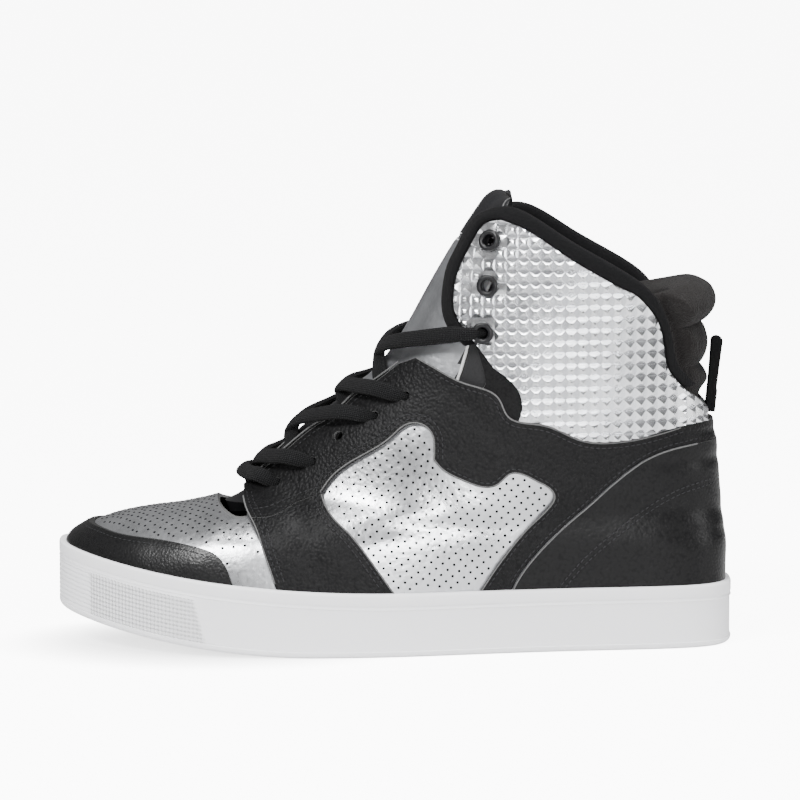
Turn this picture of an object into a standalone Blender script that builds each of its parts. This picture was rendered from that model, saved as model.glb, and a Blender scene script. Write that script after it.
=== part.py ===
"""High-top dance sneaker, left shoe, standing empty on its cupsole.

The toe points to -X, the heel to +X and the outer side of the foot to -Y. The origin is on the floor,
under the middle of the sole. Every panel is an outline in the side view, cut from a slab of the form.
"""
import math

import bmesh
import bpy
import numpy as np
from mathutils import Matrix, Vector

MM = 0.001

# Overall sizes
SOLE_LENGTH = 275 * MM
BALL_WIDTH = 102 * MM
SHOE_HEIGHT = 186 * MM

# Cupsole
RIM_HEIGHT = 25.8 * MM
RIM_WALL = 3.4 * MM
RIM_ROUND = 1.2 * MM
MIDSOLE = 12 * MM
EDGE_ROUND = 2.4 * MM
LIP_DEPTH = 5.3 * MM
LIP_GROOVE = 0.5 * MM
TOE_SPRING = 14 * MM
SPRING_LENGTH = 105 * MM
SPRING_POWER = 1.8
RIM_RISE = 15 * MM
RIM_RISE_LENGTH = 150 * MM
RIM_RISE_POWER = 2.2
TOE_PANEL_STEP = 0.5 * MM
TOE_PANEL_LENGTH = 62 * MM

# Leather and padding
CLEARANCE = 0.3 * MM
SEAT_CLEARANCE = 0.6 * MM
PAD_CLEARANCE = 1.2 * MM
UPPER_WALL = 2.0 * MM
PANEL = 1.2 * MM
COUNTER_PANEL = 1.5 * MM
GUARD_PANEL = 1.3 * MM
WING_PANEL = 1.4 * MM
BINDING_ROLL = 0.7 * MM
BINDING_APART = 12 * MM
HEM = 2.0 * MM
INSOLE = 4 * MM
TONGUE_BASE = 5 * MM
TONGUE_TOP = 10.5 * MM
TONGUE_WIDTH = 60 * MM
TONGUE_RISES = (0.34, 0.93)
TONGUE_TIP_RISES = (0.965, 0.99, 1.0)
TONGUE_ROWS = 12
TONGUE_COLUMNS = 9
TONGUE_WIDENS = (0.36, 0.62)
TONGUE_THICKENS = (0.4, 0.85)
CROWN_WIDTH = 8 * MM
CROWN_GAIN = 1.5 * MM
CROWN_EDGE = 5 * MM
CROWN_SINK = 0.5 * MM
CROWN_STARTS = (0.38, 0.46)
CROWN_WIDENS = (0.5, 0.75)
TIP_THINS = (0.97, 1.0)
TIP_SHARE = 0.4
COLLAR_PAD = 13 * MM
COLLAR_BULGE = 4.2 * MM
COLLAR_ROLLS = 3
COLLAR_FOOT = 96.5 * MM
COLLAR_TOP = 149 * MM
COLLAR_DIP = 6 * MM
COLLAR_HOLLOW = 2.2 * MM
COLLAR_THIN = 2 * MM
COLLAR_TUCK = 3 * MM
COLLAR_FREE = 9 * MM
COLLAR_REACH_DEGREES = 62
COLLAR_COLUMNS = 15
COLLAR_ROWS = 13
COLLAR_SOFT_EDGE = 0.35
ROLL_POWER = 0.6
ROLL_HOLLOW = 0.55
PAD_EDGE = 0.45

# Trim
EYELET_OUTER = 9 * MM
EYELET_HOLE = 5 * MM
EYELET_HEIGHT = 1.1 * MM
PUNCHED_HOLE = 4 * MM
LACE_WIDTH = 6.4 * MM
LACE_THICKNESS = 2.2 * MM
LOOP_WIDTH = 11 * MM
LOOP_WEB = 1.8 * MM
LOOP_LEAN = 2.2 * MM
LOOP_SHOULDER = 2 * MM
LOOP_FOOT_DROP = 1 * MM
LACE_ARCH = 0.9 * MM
LACE_LIFTS = (0.45 * MM, 1.0 * MM)
LACE_PAST = (0.02, 0.04)
LACE_STEPS = 8
LOOP_TOP = 0.675
LOOP_FOOT = 0.506
LOOP_BACK = 0.9505

# Mesh steps
SLIVER = 0.004 * MM
TURN_STEPS = 36
RISE_STEPS = 12
SOLE_STEPS = 48
OUTLINE_STEP = 9 * MM
NEAR_KNOT = 0.45
SIDE_REACH = 0.15
HOLE_STEPS = 10
DRILL_LENGTH = 10 * MM
SMOOTH_ANGLE = 40
DIFFERENCE_STEP = 1e-3
NEWTON_ROUNDS = 40
NEWTON_MISS = 0.01 * MM
SLAB_START = 0.05
QUARTER_END = 0.72
FRONT_END = 0.45
GUARD_END = 0.34
COUNTER_END = 0.5
WING_START = 0.42
BINDING_START = 0.5

HALF_LENGTH = SOLE_LENGTH / 2
HALF_BALL = BALL_WIDTH / 2

# Half widths are shares of half the ball width, at the toe, ball, waist and heel of a ring.
SOLE_WIDTHS = dict(toe=0.92, ball=1.06, waist=0.79, heel=0.98, roundness=0.70)

# Rings of the form above the rim. x is a share of half the sole, z of the shoe's height.
FORM_COLUMNS = ("front_x", "front_z", "back_x", "back_z", "toe", "ball", "waist", "heel", "roundness")
FORM_ROWS = (
    (-0.935, 0.2390, 0.9710, 0.220, 0.80, 0.910, 0.725, 0.900, 0.75),
    (-0.851, 0.2700, 0.9640, 0.269, 0.71, 0.830, 0.716, 0.880, 0.80),
    (-0.669, 0.2980, 0.9585, 0.306, 0.59, 0.775, 0.706, 0.840, 0.85),
    (-0.487, 0.3330, 0.9530, 0.349, 0.57, 0.735, 0.706, 0.820, 0.85),
    (-0.291, 0.4620, 0.9455, 0.425, 0.59, 0.706, 0.706, 0.800, 0.85),
    (-0.066, 0.5990, 0.9310, 0.500, 0.66, 0.706, 0.706, 0.770, 0.82),
    (0.0705, 0.7500, 0.9130, 0.591, 0.76, 0.716, 0.710, 0.740, 0.76),
    (0.160, 0.8660, 0.9130, 0.700, 0.84, 0.725, 0.725, 0.730, 0.72),
    (0.287, 1.0054, 0.9160, 0.817, 0.84, 0.745, 0.745, 0.740, 0.72),
)

# The last swings towards the big toe: x as a share of half the sole, y as a share of half the ball width.
SWING_X = (-1.0, -0.76, -0.29, 0.0, 0.29, 1.0)
SWING_Y = (0.16, 0.05, -0.04, -0.08, -0.05, 0.0)

# Side-view curves. x is a share of half the sole, z of the shoe's height.
THROAT_EDGE = ((-0.447, 0.349), (-0.417, 0.366), (-0.320, 0.427), (-0.229, 0.483), (-0.172, 0.511),
               (-0.121, 0.547), (-0.065, 0.577), (0.013, 0.623))
TOP_LINE = ((0.065, 0.639), (0.120, 0.619), (0.207, 0.588), (0.307, 0.555), (0.330, 0.520),
            (0.431, 0.4995), (0.549, 0.464), (0.644, 0.459), (0.739, 0.468), (0.833, 0.4855), (1.05, 0.487))
VAMP_THROAT = ((-0.529, 0.330), (-0.520, 0.312), (-0.492, 0.297), (-0.462, 0.290), (-0.435, 0.292))
FRONT_SEAM = ((-0.447, 0.349), (-0.438, 0.306), (-0.417, 0.284), (-0.382, 0.226), (-0.361, 0.184),
              (-0.327, 0.100))
EYESTAY_SEAM = ((-0.425, 0.295), (-0.350, 0.303), (-0.300, 0.322), (-0.250, 0.338), (-0.205, 0.350))
GUARD_EDGE = ((-1.05, 0.262), (-0.878, 0.2565), (-0.822, 0.250), (-0.717, 0.2457), (-0.652, 0.242),
              (-0.573, 0.233), (-0.530, 0.223), (-0.506, 0.2086), (-0.483, 0.177), (-0.460, 0.100))
COUNTER_SEAM = ((0.325, 0.100), (0.356, 0.154), (0.407, 0.207), (0.502, 0.277), (0.596, 0.338),
                (0.692, 0.397), (0.786, 0.433), (0.881, 0.446), (1.05, 0.448))
WINDOW_TOP = ((-0.212, 0.346), (-0.183, 0.376), (-0.084, 0.430), (-0.005, 0.470), (0.039, 0.496),
              (0.063, 0.4995), (0.093, 0.493), (0.113, 0.474), (0.117, 0.452), (0.116, 0.423))
WINDOW_REAR = ((0.116, 0.423), (0.137, 0.405), (0.201, 0.379), (0.260, 0.3645), (0.290, 0.366),
               (0.315, 0.379), (0.340, 0.3935), (0.364, 0.3935), (0.418, 0.375), (0.457, 0.357),
               (0.467, 0.3425), (0.452, 0.320), (0.399, 0.280), (0.310, 0.203), (0.240, 0.125))
WINDOW_FRONT = ((0.010, 0.125), (-0.064, 0.203), (-0.133, 0.265), (-0.202, 0.320), (-0.212, 0.346))
NOTCH = ((0.060, 0.620), (0.131, 0.603), (0.218, 0.578), (0.262, 0.580), (0.262, 0.612), (0.245, 0.655))
WING_FRONT = ((0.237, 0.674), (0.193, 0.717), (0.176, 0.741), (0.172, 0.777), (0.180, 0.820),
              (0.199, 0.862), (0.229, 0.9075), (0.267, 0.944), (0.308, 0.952))
WING_REAR = ((0.308, 0.952), (0.364, 0.938), (0.431, 0.910), (0.507, 0.870), (0.591, 0.830),
             (0.666, 0.796), (0.711, 0.776), (0.745, 0.747), (0.764, 0.727), (0.787, 0.667),
             (0.805, 0.610), (0.824, 0.591), (0.856, 0.565), (0.890, 0.546), (0.925, 0.520))
WING_FOOT = ((0.925, 0.400), (0.510, 0.400), (0.340, 0.470), (0.372, 0.530), (0.360, 0.575), (0.290, 0.622))
BINDING_EDGE = ((0.205, 0.668), (0.153, 0.713), (0.142, 0.7495), (0.146, 0.791), (0.161, 0.845),
                (0.184, 0.882), (0.214, 0.925), (0.244, 0.952), (0.286, 0.972), (0.327, 0.980),
                (0.401, 0.9625), (0.491, 0.920), (0.580, 0.8805), (0.669, 0.839), (0.758, 0.7795),
                (0.789, 0.735), (0.812, 0.672), (0.830, 0.620), (0.848, 0.603), (0.878, 0.578),
                (0.910, 0.560), (0.950, 0.520))
PUNCHED_HOLES = ((-0.344, 0.358), (-0.238, 0.4065), (-0.161, 0.464), (-0.057, 0.510), (0.034, 0.555))
EYELETS = ((0.260, 0.697), (0.274, 0.799), (0.283, 0.8935))
LACED_HOLES = (0, 1, 3, 4)


def wipe_scene():
    for old in list(bpy.data.objects):
        bpy.data.objects.remove(old, do_unlink=True)


def finish(name, colour, roughness, metallic=0.0):
    material = bpy.data.materials.new(name)
    material.use_nodes = True
    shader = material.node_tree.nodes["Principled BSDF"]
    shader.inputs["Base Color"].default_value = (*colour, 1)
    shader.inputs["Roughness"].default_value = roughness
    shader.inputs["Metallic"].default_value = metallic
    return material


def add_mesh(name, points, faces, material=None):
    mesh = bpy.data.meshes.new(name)
    mesh.from_pydata([tuple(p) for p in points], [], faces)
    mesh.validate()
    body = bmesh.new()
    body.from_mesh(mesh)
    bmesh.ops.recalc_face_normals(body, faces=body.faces)
    body.to_mesh(mesh)
    body.free()
    mesh.shade_smooth()
    mesh.set_sharp_from_angle(angle=math.radians(SMOOTH_ANGLE))
    if material:
        mesh.materials.append(material)
    made = bpy.data.objects.new(name, mesh)
    bpy.context.scene.collection.objects.link(made)
    return made


def spline(knots, values, at):
    """Natural cubic spline through rows of values, read at the given places."""
    knots = np.asarray(knots, float)
    values = np.asarray(values, float)
    flat = values.reshape(len(knots), -1)
    steps = np.diff(knots)
    slopes = np.diff(flat, axis=0) / steps[:, None]
    matrix = np.eye(len(knots))
    right = np.zeros_like(flat)
    for i in range(1, len(knots) - 1):
        matrix[i, i - 1:i + 2] = steps[i - 1], 2 * (steps[i - 1] + steps[i]), steps[i]
        right[i] = 6 * (slopes[i] - slopes[i - 1])
    bends = np.linalg.solve(matrix, right)
    at = np.atleast_1d(np.asarray(at, float))
    span = np.clip(np.searchsorted(knots, at, side="right") - 1, 0, len(steps) - 1)
    width = steps[span][:, None]
    a = (knots[span + 1][:, None] - at[:, None]) / width
    b = 1 - a
    read = (a * flat[span] + b * flat[span + 1]
            + ((a ** 3 - a) * bends[span] + (b ** 3 - b) * bends[span + 1]) * width ** 2 / 6)
    return read.reshape((len(at),) + values.shape[1:])


def fade(low, high, value):
    share = np.clip((value - low) / (high - low), 0, 1)
    return share * share * (3 - 2 * share)


def swing(x):
    """Sideways place of the last's centreline at x."""
    return spline(SWING_X, SWING_Y, np.clip(x / HALF_LENGTH, -1, 1)) * HALF_BALL


def sole_bottom(x):
    """Height of the sole's underside, which rises towards the toe."""
    reach = np.clip(1 - (x + HALF_LENGTH) / SPRING_LENGTH, 0, None)
    return TOE_SPRING * reach ** SPRING_POWER


def rim_top(x):
    reach = np.clip(1 - (x + HALF_LENGTH) / RIM_RISE_LENGTH, 0, None)
    return RIM_HEIGHT + RIM_RISE * reach ** RIM_RISE_POWER


def half_width(widths, share, inset=0.0):
    """Half width of a ring, share 0 at its front and 1 at its back."""
    toe, ball, waist, heel = (widths[k] * HALF_BALL - inset for k in ("toe", "ball", "waist", "heel"))
    s = 3 * share
    return (-toe * (s - 1) * (s - 2) * (s - 3) / 6 + ball * s * (s - 2) * (s - 3) / 2
            - waist * s * (s - 1) * (s - 3) / 2 + heel * s * (s - 1) * (s - 2) / 6)


def ring(angles, front_x, back_x, widths, inset=0.0):
    """Plan of one ring as x and y, from the heel by the outer side to the toe and back."""
    share = (1 + np.cos(angles)) / 2
    x = front_x + (back_x - front_x) * share
    side = np.sin(angles)
    y = -np.sign(side) * half_width(widths, share, inset) * np.abs(side) ** widths["roundness"]
    return x, y + swing(x), share


def sole_ring(angles, inset):
    x, y, _ = ring(angles, -HALF_LENGTH + inset, HALF_LENGTH - inset, SOLE_WIDTHS, inset)
    return x, y


def form_rings(angles):
    """The form's rings: two inside the rim, worked out from the sole, and one for each table row."""
    seat = RIM_WALL + SEAT_CLEARANCE
    x, y = sole_ring(angles, seat)
    rings = [np.stack([x, y, sole_bottom(x) + MIDSOLE + CLEARANCE], axis=1),
             np.stack([x, y, rim_top(x) - RIM_ROUND], axis=1)]
    for values in FORM_ROWS:
        row = dict(zip(FORM_COLUMNS, values))
        x, y, share = ring(angles, row["front_x"] * HALF_LENGTH, row["back_x"] * HALF_LENGTH, row)
        z = (row["front_z"] + (row["back_z"] - row["front_z"]) * share) * SHOE_HEIGHT
        rings.append(np.stack([x, y, z], axis=1))
    return np.array(rings)


def ring_knots():
    ends = form_rings(np.array([0.0, math.pi]))
    gaps = np.linalg.norm(np.diff(ends, axis=0), axis=2).mean(axis=1)
    knots = np.concatenate([[0], np.cumsum(gaps)])
    return knots / knots[-1]


KNOTS = ring_knots()


def form(angles, rises, offsets=0.0):
    """Points of the form, rise 0 inside the cup and 1 at the top, moved outward by the offsets."""
    angles = np.atleast_1d(np.asarray(angles, float))
    rises = np.atleast_1d(np.asarray(rises, float))
    tiny = DIFFERENCE_STEP

    def read(a, r):
        return spline(KNOTS, form_rings(a), r)
    here = read(angles, rises)
    low = np.clip(rises - tiny, 0, 1)
    high = np.clip(rises + tiny, 0, 1)
    along = read(angles + tiny, rises) - read(angles - tiny, rises)
    up = read(angles, high) - read(angles, low)
    normal = np.cross(up, along)
    normal /= np.linalg.norm(normal, axis=2, keepdims=True) + 1e-12
    return here + normal * np.broadcast_to(np.asarray(offsets, float), here.shape[:2])[:, :, None]


def turn_angles(steps=TURN_STEPS):
    """Angles round the form, halfway between columns at the heel so that a seam can run there."""
    return (np.arange(steps) + 0.5) * 2 * math.pi / steps


def ring_slab(name, inner, outer, low=0.0, high=1.0):
    """Closed solid between two offsets of the form, all the way round, on the form's common grid."""
    angles = turn_angles()
    rises = np.linspace(0, 1, RISE_STEPS)
    rises = rises[(rises >= low - 1 / RISE_STEPS) & (rises <= high + 1 / RISE_STEPS)]
    steps = len(rises)
    shells = [form(angles, rises, outer), form(angles, rises, inner)]
    count = len(angles)
    points = np.concatenate([s.reshape(-1, 3) for s in shells])
    back = steps * count
    faces = []
    for i in range(steps - 1):
        for j in range(count):
            k = (j + 1) % count
            quad = (i * count + j, i * count + k, (i + 1) * count + k, (i + 1) * count + j)
            faces.append(quad)
            faces.append(tuple(back + q for q in reversed(quad)))
    for j in range(count):
        k = (j + 1) % count
        top = (steps - 1) * count
        faces.append((j, back + j, back + k, k))
        faces.append((top + j, top + k, back + top + k, back + top + j))
    return add_mesh(name, points, faces)


def patch(name, shells, material):
    """Closed solid between two matching grids of points, given as (outer, inner)."""
    outer, inner = shells
    rows, columns = outer.shape[:2]
    points = np.concatenate([outer.reshape(-1, 3), inner.reshape(-1, 3)])
    back = rows * columns
    faces = []
    for i in range(rows - 1):
        for j in range(columns - 1):
            quad = (i * columns + j, i * columns + j + 1, (i + 1) * columns + j + 1, (i + 1) * columns + j)
            faces.append(quad)
            faces.append(tuple(back + q for q in reversed(quad)))
    edge = ([(0, j) for j in range(columns)] + [(i, columns - 1) for i in range(1, rows)]
            + [(rows - 1, j) for j in range(columns - 2, -1, -1)] + [(i, 0) for i in range(rows - 2, 0, -1)])
    edge = [i * columns + j for i, j in edge]
    for a, b in zip(edge, edge[1:] + edge[:1]):
        faces.append((a, back + a, back + b, b))
    return add_mesh(name, points, faces, material)


def curve(points):
    """Smooth run through side-view points, in metres, about one point for each outline step."""
    spots = np.array(points, float) * (HALF_LENGTH, SHOE_HEIGHT)
    lengths = np.concatenate([[0], np.cumsum(np.linalg.norm(np.diff(spots, axis=0), axis=1))])
    count = max(2, int(round(lengths[-1] / OUTLINE_STEP)) + 1)
    at = np.union1d(np.linspace(0, lengths[-1], count), lengths[1:-1])
    keep = [0]
    for i in range(1, len(at)):
        if at[i] - at[keep[-1]] > OUTLINE_STEP * NEAR_KNOT or i == len(at) - 1:
            keep.append(i)
    return [tuple(p) for p in spline(lengths, spots, at[keep])]


def outline(*runs):
    """One closed outline from runs of points, without doubled corners."""
    joined = []
    for run in runs:
        for spot in run:
            if not joined or math.dist(joined[-1], spot) > CLEARANCE / 2:
                joined.append(spot)
    if math.dist(joined[0], joined[-1]) < CLEARANCE / 2:
        joined.pop()
    return joined


def beside(spots, distance):
    """Open run moved to the left of its direction by a distance, to the right where it is negative."""
    spots = np.array(spots)
    before = np.vstack([spots[:1], spots[:-1]])
    after = np.vstack([spots[1:], spots[-1:]])
    along = after - before
    along /= np.linalg.norm(along, axis=1, keepdims=True)
    left = np.stack([-along[:, 1], along[:, 0]], axis=1)
    return [tuple(p) for p in spots + left * distance]


def prism(spots, side=None, apart=CLEARANCE / 2):
    """Cutter with a side-view outline, through both sides or only one of them, kept off the middle."""
    low = apart if side == "medial" else -SIDE_REACH
    high = -apart if side == "lateral" else SIDE_REACH
    count = len(spots)
    points = [(x, low, z) for x, z in spots] + [(x, high, z) for x, z in spots]
    faces = [tuple(range(count)), tuple(range(2 * count - 1, count - 1, -1))]
    faces += [(i, (i + 1) % count, count + (i + 1) % count, count + i) for i in range(count)]
    body = bpy.data.meshes.new("cutter")
    body.from_pydata(points, [], faces)
    work = bmesh.new()
    work.from_mesh(body)
    bmesh.ops.triangulate(work, faces=[f for f in work.faces if len(f.verts) > 4], ngon_method="EAR_CLIP")
    bmesh.ops.recalc_face_normals(work, faces=work.faces)
    work.to_mesh(body)
    work.free()
    cutter = bpy.data.objects.new("cutter", body)
    bpy.context.scene.collection.objects.link(cutter)
    return cutter


def carve(body, cutter, operation):
    """Apply one Boolean with a cutter, which is then removed."""
    change = body.modifiers.new("carve", "BOOLEAN")
    change.object = cutter
    change.operation = operation
    change.solver = "EXACT"
    view = bpy.context.evaluated_depsgraph_get()
    result = bpy.data.meshes.new_from_object(body.evaluated_get(view))
    body.modifiers.clear()
    body.data = result
    bpy.data.objects.remove(cutter, do_unlink=True)
    return body


def settle(body, name, material):
    """Weld slivers left by the cuts and give the piece its name and finish."""
    work = bmesh.new()
    work.from_mesh(body.data)
    bmesh.ops.remove_doubles(work, verts=work.verts, dist=SLIVER)
    bmesh.ops.dissolve_degenerate(work, edges=work.edges, dist=SLIVER)
    torn = [e for e in work.edges if e.is_boundary]
    if torn:
        bmesh.ops.holes_fill(work, edges=torn, sides=0)
    bmesh.ops.triangulate(work, faces=work.faces)
    work.to_mesh(body.data)
    work.free()
    body.name = name
    body.data.materials.clear()
    body.data.materials.append(material)
    body.data.shade_smooth()
    body.data.set_sharp_from_angle(angle=math.radians(SMOOTH_ANGLE))
    return body


def rim_line(first, last):
    """Run along the rim's top, a clearance above it."""
    xs = np.linspace(first, last, max(2, int(abs(last - first) / (3 * OUTLINE_STEP)) + 1))
    return [(x, float(rim_top(x)) + CLEARANCE) for x in xs]


def surface_spot(x, z, side, offset):
    """Place and outward direction of the form at a side-view point, found by Newton steps."""
    angle = math.pi / 2 if side == "lateral" else 3 * math.pi / 2
    rise = 0.5
    step = DIFFERENCE_STEP
    target = np.array([x, z])
    for _ in range(NEWTON_ROUNDS):
        spot = form([angle], [rise])[0, 0]
        if np.linalg.norm(spot[[0, 2]] - target) < NEWTON_MISS:
            break
        turned = (form([angle + step], [rise])[0, 0] - spot) / step
        raised = (form([angle], [min(rise + step, 1)])[0, 0] - spot) / max(min(rise + step, 1) - rise, 1e-6)
        slope = np.array([[turned[0], raised[0]], [turned[2], raised[2]]])
        move = np.linalg.solve(slope, target - spot[[0, 2]])
        angle += float(np.clip(move[0], -0.3, 0.3))
        rise = float(np.clip(rise + np.clip(move[1], -0.1, 0.1), 0.02, 0.995))
    here = Vector(form([angle], [rise], offset)[0, 0])
    outward = Vector(form([angle], [rise], offset + MM)[0, 0]) - here
    return here, outward.normalized(), angle, rise


def drill(body, spots, side, diameter):
    """Round holes through a wall, square to the form."""
    for x, z in spots:
        centre, outward, _, _ = surface_spot(x * HALF_LENGTH, z * SHOE_HEIGHT, side, 0)
        work = bmesh.new()
        bmesh.ops.create_cone(work, cap_ends=True, segments=HOLE_STEPS, radius1=diameter / 2,
                              radius2=diameter / 2, depth=DRILL_LENGTH)
        tool = bpy.data.meshes.new("drill")
        work.to_mesh(tool)
        work.free()
        cutter = bpy.data.objects.new("drill", tool)
        bpy.context.scene.collection.objects.link(cutter)
        turn = outward.to_track_quat("Z", "Y").to_matrix().to_4x4()
        cutter.matrix_world = Matrix.Translation(centre) @ turn
        bpy.context.view_layer.update()
        carve(body, cutter, "DIFFERENCE")
    return body


def make_sole(material):
    """Cupsole: outer wall with its lip groove and toe panel, and the cup that holds the upper."""
    angles = turn_angles(SOLE_STEPS)
    profile = (("bottom", EDGE_ROUND, 0.0), ("bottom", 0.3 * EDGE_ROUND, 0.35 * EDGE_ROUND),
               ("bottom", 0.0, EDGE_ROUND), ("top", 0.0, -LIP_DEPTH - 2 * LIP_GROOVE),
               ("top", LIP_GROOVE, -LIP_DEPTH), ("top", 0.0, -LIP_DEPTH + 2 * LIP_GROOVE),
               ("top", 0.0, -RIM_ROUND), ("top", 0.3 * RIM_ROUND, -0.3 * RIM_ROUND),
               ("top", RIM_ROUND, 0.0), ("top", RIM_WALL, 0.0), ("cup", RIM_WALL, MIDSOLE))
    rings = []
    for level, (start, inset, lift) in enumerate(profile):
        x, y = sole_ring(angles, inset)
        base = rim_top(x) if start == "top" else sole_bottom(x)
        if level in (2, 3):
            raised = 1 - fade(TOE_PANEL_LENGTH - 2 * MM, TOE_PANEL_LENGTH, x + HALF_LENGTH)
            x, y = (v - inset_step for v, inset_step in zip((x, y), toe_step(x, y, raised)))
        rings.append(np.stack([x, y, base + lift], axis=1))
    points = np.concatenate(rings)
    count = len(angles)
    faces = wall_faces(len(rings), count) + cap_faces(0, count) + cap_faces((len(rings) - 1) * count, count)
    return settle(add_mesh("sole", points, faces), "sole", material)


def toe_step(x, y, raised):
    """Inward shift that leaves the textured toe panel standing proud of the wall behind it."""
    centre_x = np.clip(x, -HALF_LENGTH + HALF_BALL, None)
    out = np.stack([x - centre_x, y], axis=1)
    out /= np.linalg.norm(out, axis=1, keepdims=True) + 1e-9
    return out[:, 0] * TOE_PANEL_STEP * (1 - raised), out[:, 1] * TOE_PANEL_STEP * (1 - raised)


def wall_faces(rings, count):
    """Faces between neighbouring closed rings."""
    return [(i * count + j, i * count + (j + 1) % count, (i + 1) * count + (j + 1) % count, (i + 1) * count + j)
            for i in range(rings - 1) for j in range(count)]


def cap_faces(start, count):
    """Strips across a ring that is mirrored about the middle of its length."""
    faces = []
    for j in range(count // 2 - 1):
        faces.append((start + j, start + j + 1, start + count - 2 - j, start + count - 1 - j))
    return faces


def make_insole(material):
    """Footbed on the cup's floor, inside the upper's wall."""
    angles = turn_angles()
    inset = RIM_WALL + SEAT_CLEARANCE + UPPER_WALL + PAD_CLEARANCE
    rings = []
    for edge, lift in ((0.0, CLEARANCE), (0.0, INSOLE * 0.7), (INSOLE * 0.4, INSOLE)):
        x, y = sole_ring(angles, inset + edge)
        rings.append(np.stack([x, y, sole_bottom(x) + MIDSOLE + lift], axis=1))
    count = len(angles)
    faces = wall_faces(len(rings), count) + cap_faces(0, count) + cap_faces((len(rings) - 1) * count, count)
    return settle(add_mesh("insole", np.concatenate(rings), faces), "insole", material)


def throat_cutter():
    """Everything above the upper's own edge: throat, notch, wings and the dip at the heel."""
    throat = beside(curve(THROAT_EDGE), -HEM)[1:]
    sky = SHOE_HEIGHT * 1.3
    runs = outline([(VAMP_THROAT[0][0] * HALF_LENGTH, sky)], curve(VAMP_THROAT), throat, curve(NOTCH),
                   curve(WING_FRONT), curve(WING_REAR),
                   [(WING_REAR[-1][0] * HALF_LENGTH, WING_REAR[-1][1] * SHOE_HEIGHT),
                    (1.3 * HALF_LENGTH, WING_REAR[-1][1] * SHOE_HEIGHT), (1.3 * HALF_LENGTH, sky)])
    return prism(runs)


def make_upper(material):
    body = ring_slab("upper", -UPPER_WALL, 0.0)
    carve(body, throat_cutter(), "DIFFERENCE")
    for side in ("lateral", "medial"):
        drill(body, PUNCHED_HOLES, side, PUNCHED_HOLE)
        drill(body, EYELETS, side, EYELET_HOLE)
    return settle(body, "upper", material)


def overlay(name, spots, thickness, side=None, low=0.0, high=1.0, holes=(), inner=CLEARANCE,
            apart=CLEARANCE / 2):
    """Panel with a side-view outline, cut from a slab that lies on the upper's form."""
    body = ring_slab(name, inner, CLEARANCE + thickness, low, high)
    carve(body, prism(spots, side, apart), "INTERSECT")
    for cut in holes:
        carve(body, prism(cut, side), "DIFFERENCE")
    return body


def window_outline():
    """The shaped side window, open at the rim."""
    return outline(curve(WINDOW_TOP), curve(WINDOW_REAR),
                   [(WINDOW_REAR[-1][0] * HALF_LENGTH, 0), (WINDOW_FRONT[0][0] * HALF_LENGTH, 0)],
                   curve(WINDOW_FRONT))


def quarter_outline():
    """Eyestay and rear quarter in one: above the eyestay seam, round the window, back to the heel."""
    counter = beside(curve(COUNTER_SEAM), CLEARANCE)
    counter = [s for s in counter if s[1] > float(rim_top(s[0])) + CLEARANCE]
    first = FRONT_SEAM[1]
    return outline(curve(THROAT_EDGE), curve(TOP_LINE), counter[::-1],
                   rim_line(counter[0][0] - MM, WINDOW_FRONT[0][0] * HALF_LENGTH + 2 * MM),
                   curve(EYESTAY_SEAM)[::-1], [(first[0] * HALF_LENGTH, first[1] * SHOE_HEIGHT)])


def front_quarter_outline():
    seam = beside(curve(EYESTAY_SEAM), -CLEARANCE)
    front = [s for s in curve(FRONT_SEAM[1:]) if float(rim_top(s[0])) + CLEARANCE < s[1] < seam[0][1]]
    return outline(front[::-1], seam,
                   rim_line(WINDOW_FRONT[0][0] * HALF_LENGTH + 2 * MM, front[-1][0] + MM))


def make_quarters(material):
    made = []
    for side in ("lateral", "medial"):
        body = overlay("quarter", quarter_outline(), PANEL, side, SLAB_START, QUARTER_END, [window_outline()])
        drill(body, PUNCHED_HOLES, side, PUNCHED_HOLE)
        made.append(settle(body, f"quarter_{side}", material))
        body = overlay("front", front_quarter_outline(), PANEL, side, SLAB_START, FRONT_END,
                       [window_outline()])
        made.append(settle(body, f"front_quarter_{side}", material))
    return made


def make_toe_guard(material):
    edge = [s for s in curve(GUARD_EDGE) if s[1] > float(rim_top(s[0])) + CLEARANCE]
    spots = outline(edge, rim_line(edge[-1][0] + MM, -1.05 * HALF_LENGTH))
    return settle(overlay("guard", spots, GUARD_PANEL, None, SLAB_START, GUARD_END), "toe_guard", material)


def make_counter(material):
    edge = [s for s in curve(COUNTER_SEAM) if s[1] > float(rim_top(s[0])) + CLEARANCE]
    spots = outline(edge[::-1], rim_line(edge[0][0], 1.05 * HALF_LENGTH))
    body = overlay("counter", spots, COUNTER_PANEL, None, SLAB_START, COUNTER_END)
    return settle(body, "heel_counter", material)


def wing_outline():
    """Stud panel: its own edge, with its foot a clearance above the quarter's top line."""
    return outline(curve(WING_FRONT), curve(WING_REAR), curve(WING_FOOT))


def below_top_line():
    """Cutter outline of everything under the quarter's top line and a clearance."""
    line = beside(curve(TOP_LINE), CLEARANCE)
    return outline(line, [(1.2 * HALF_LENGTH, 0), (line[0][0], 0)])


def make_wings(material):
    made = []
    for side in ("lateral", "medial"):
        body = overlay("wing", wing_outline(), WING_PANEL, side, WING_START, 1.0, [below_top_line()])
        drill(body, EYELETS, side, EYELET_HOLE)
        made.append(settle(body, f"wing_{side}", material))
    return made


def make_bindings(material):
    """Padded edge round each wing, as thick as the wall and the panel with their roll."""
    inside = beside(outline(curve(WING_FRONT), curve(WING_REAR)), CLEARANCE)
    spots = outline(curve(BINDING_EDGE), inside[::-1])
    made = []
    for side in ("lateral", "medial"):
        body = overlay("binding", spots, WING_PANEL + BINDING_ROLL, side, BINDING_START, 1.0, (), -UPPER_WALL,
                       BINDING_APART)
        made.append(settle(body, f"wing_binding_{side}", material))
    return made


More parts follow.
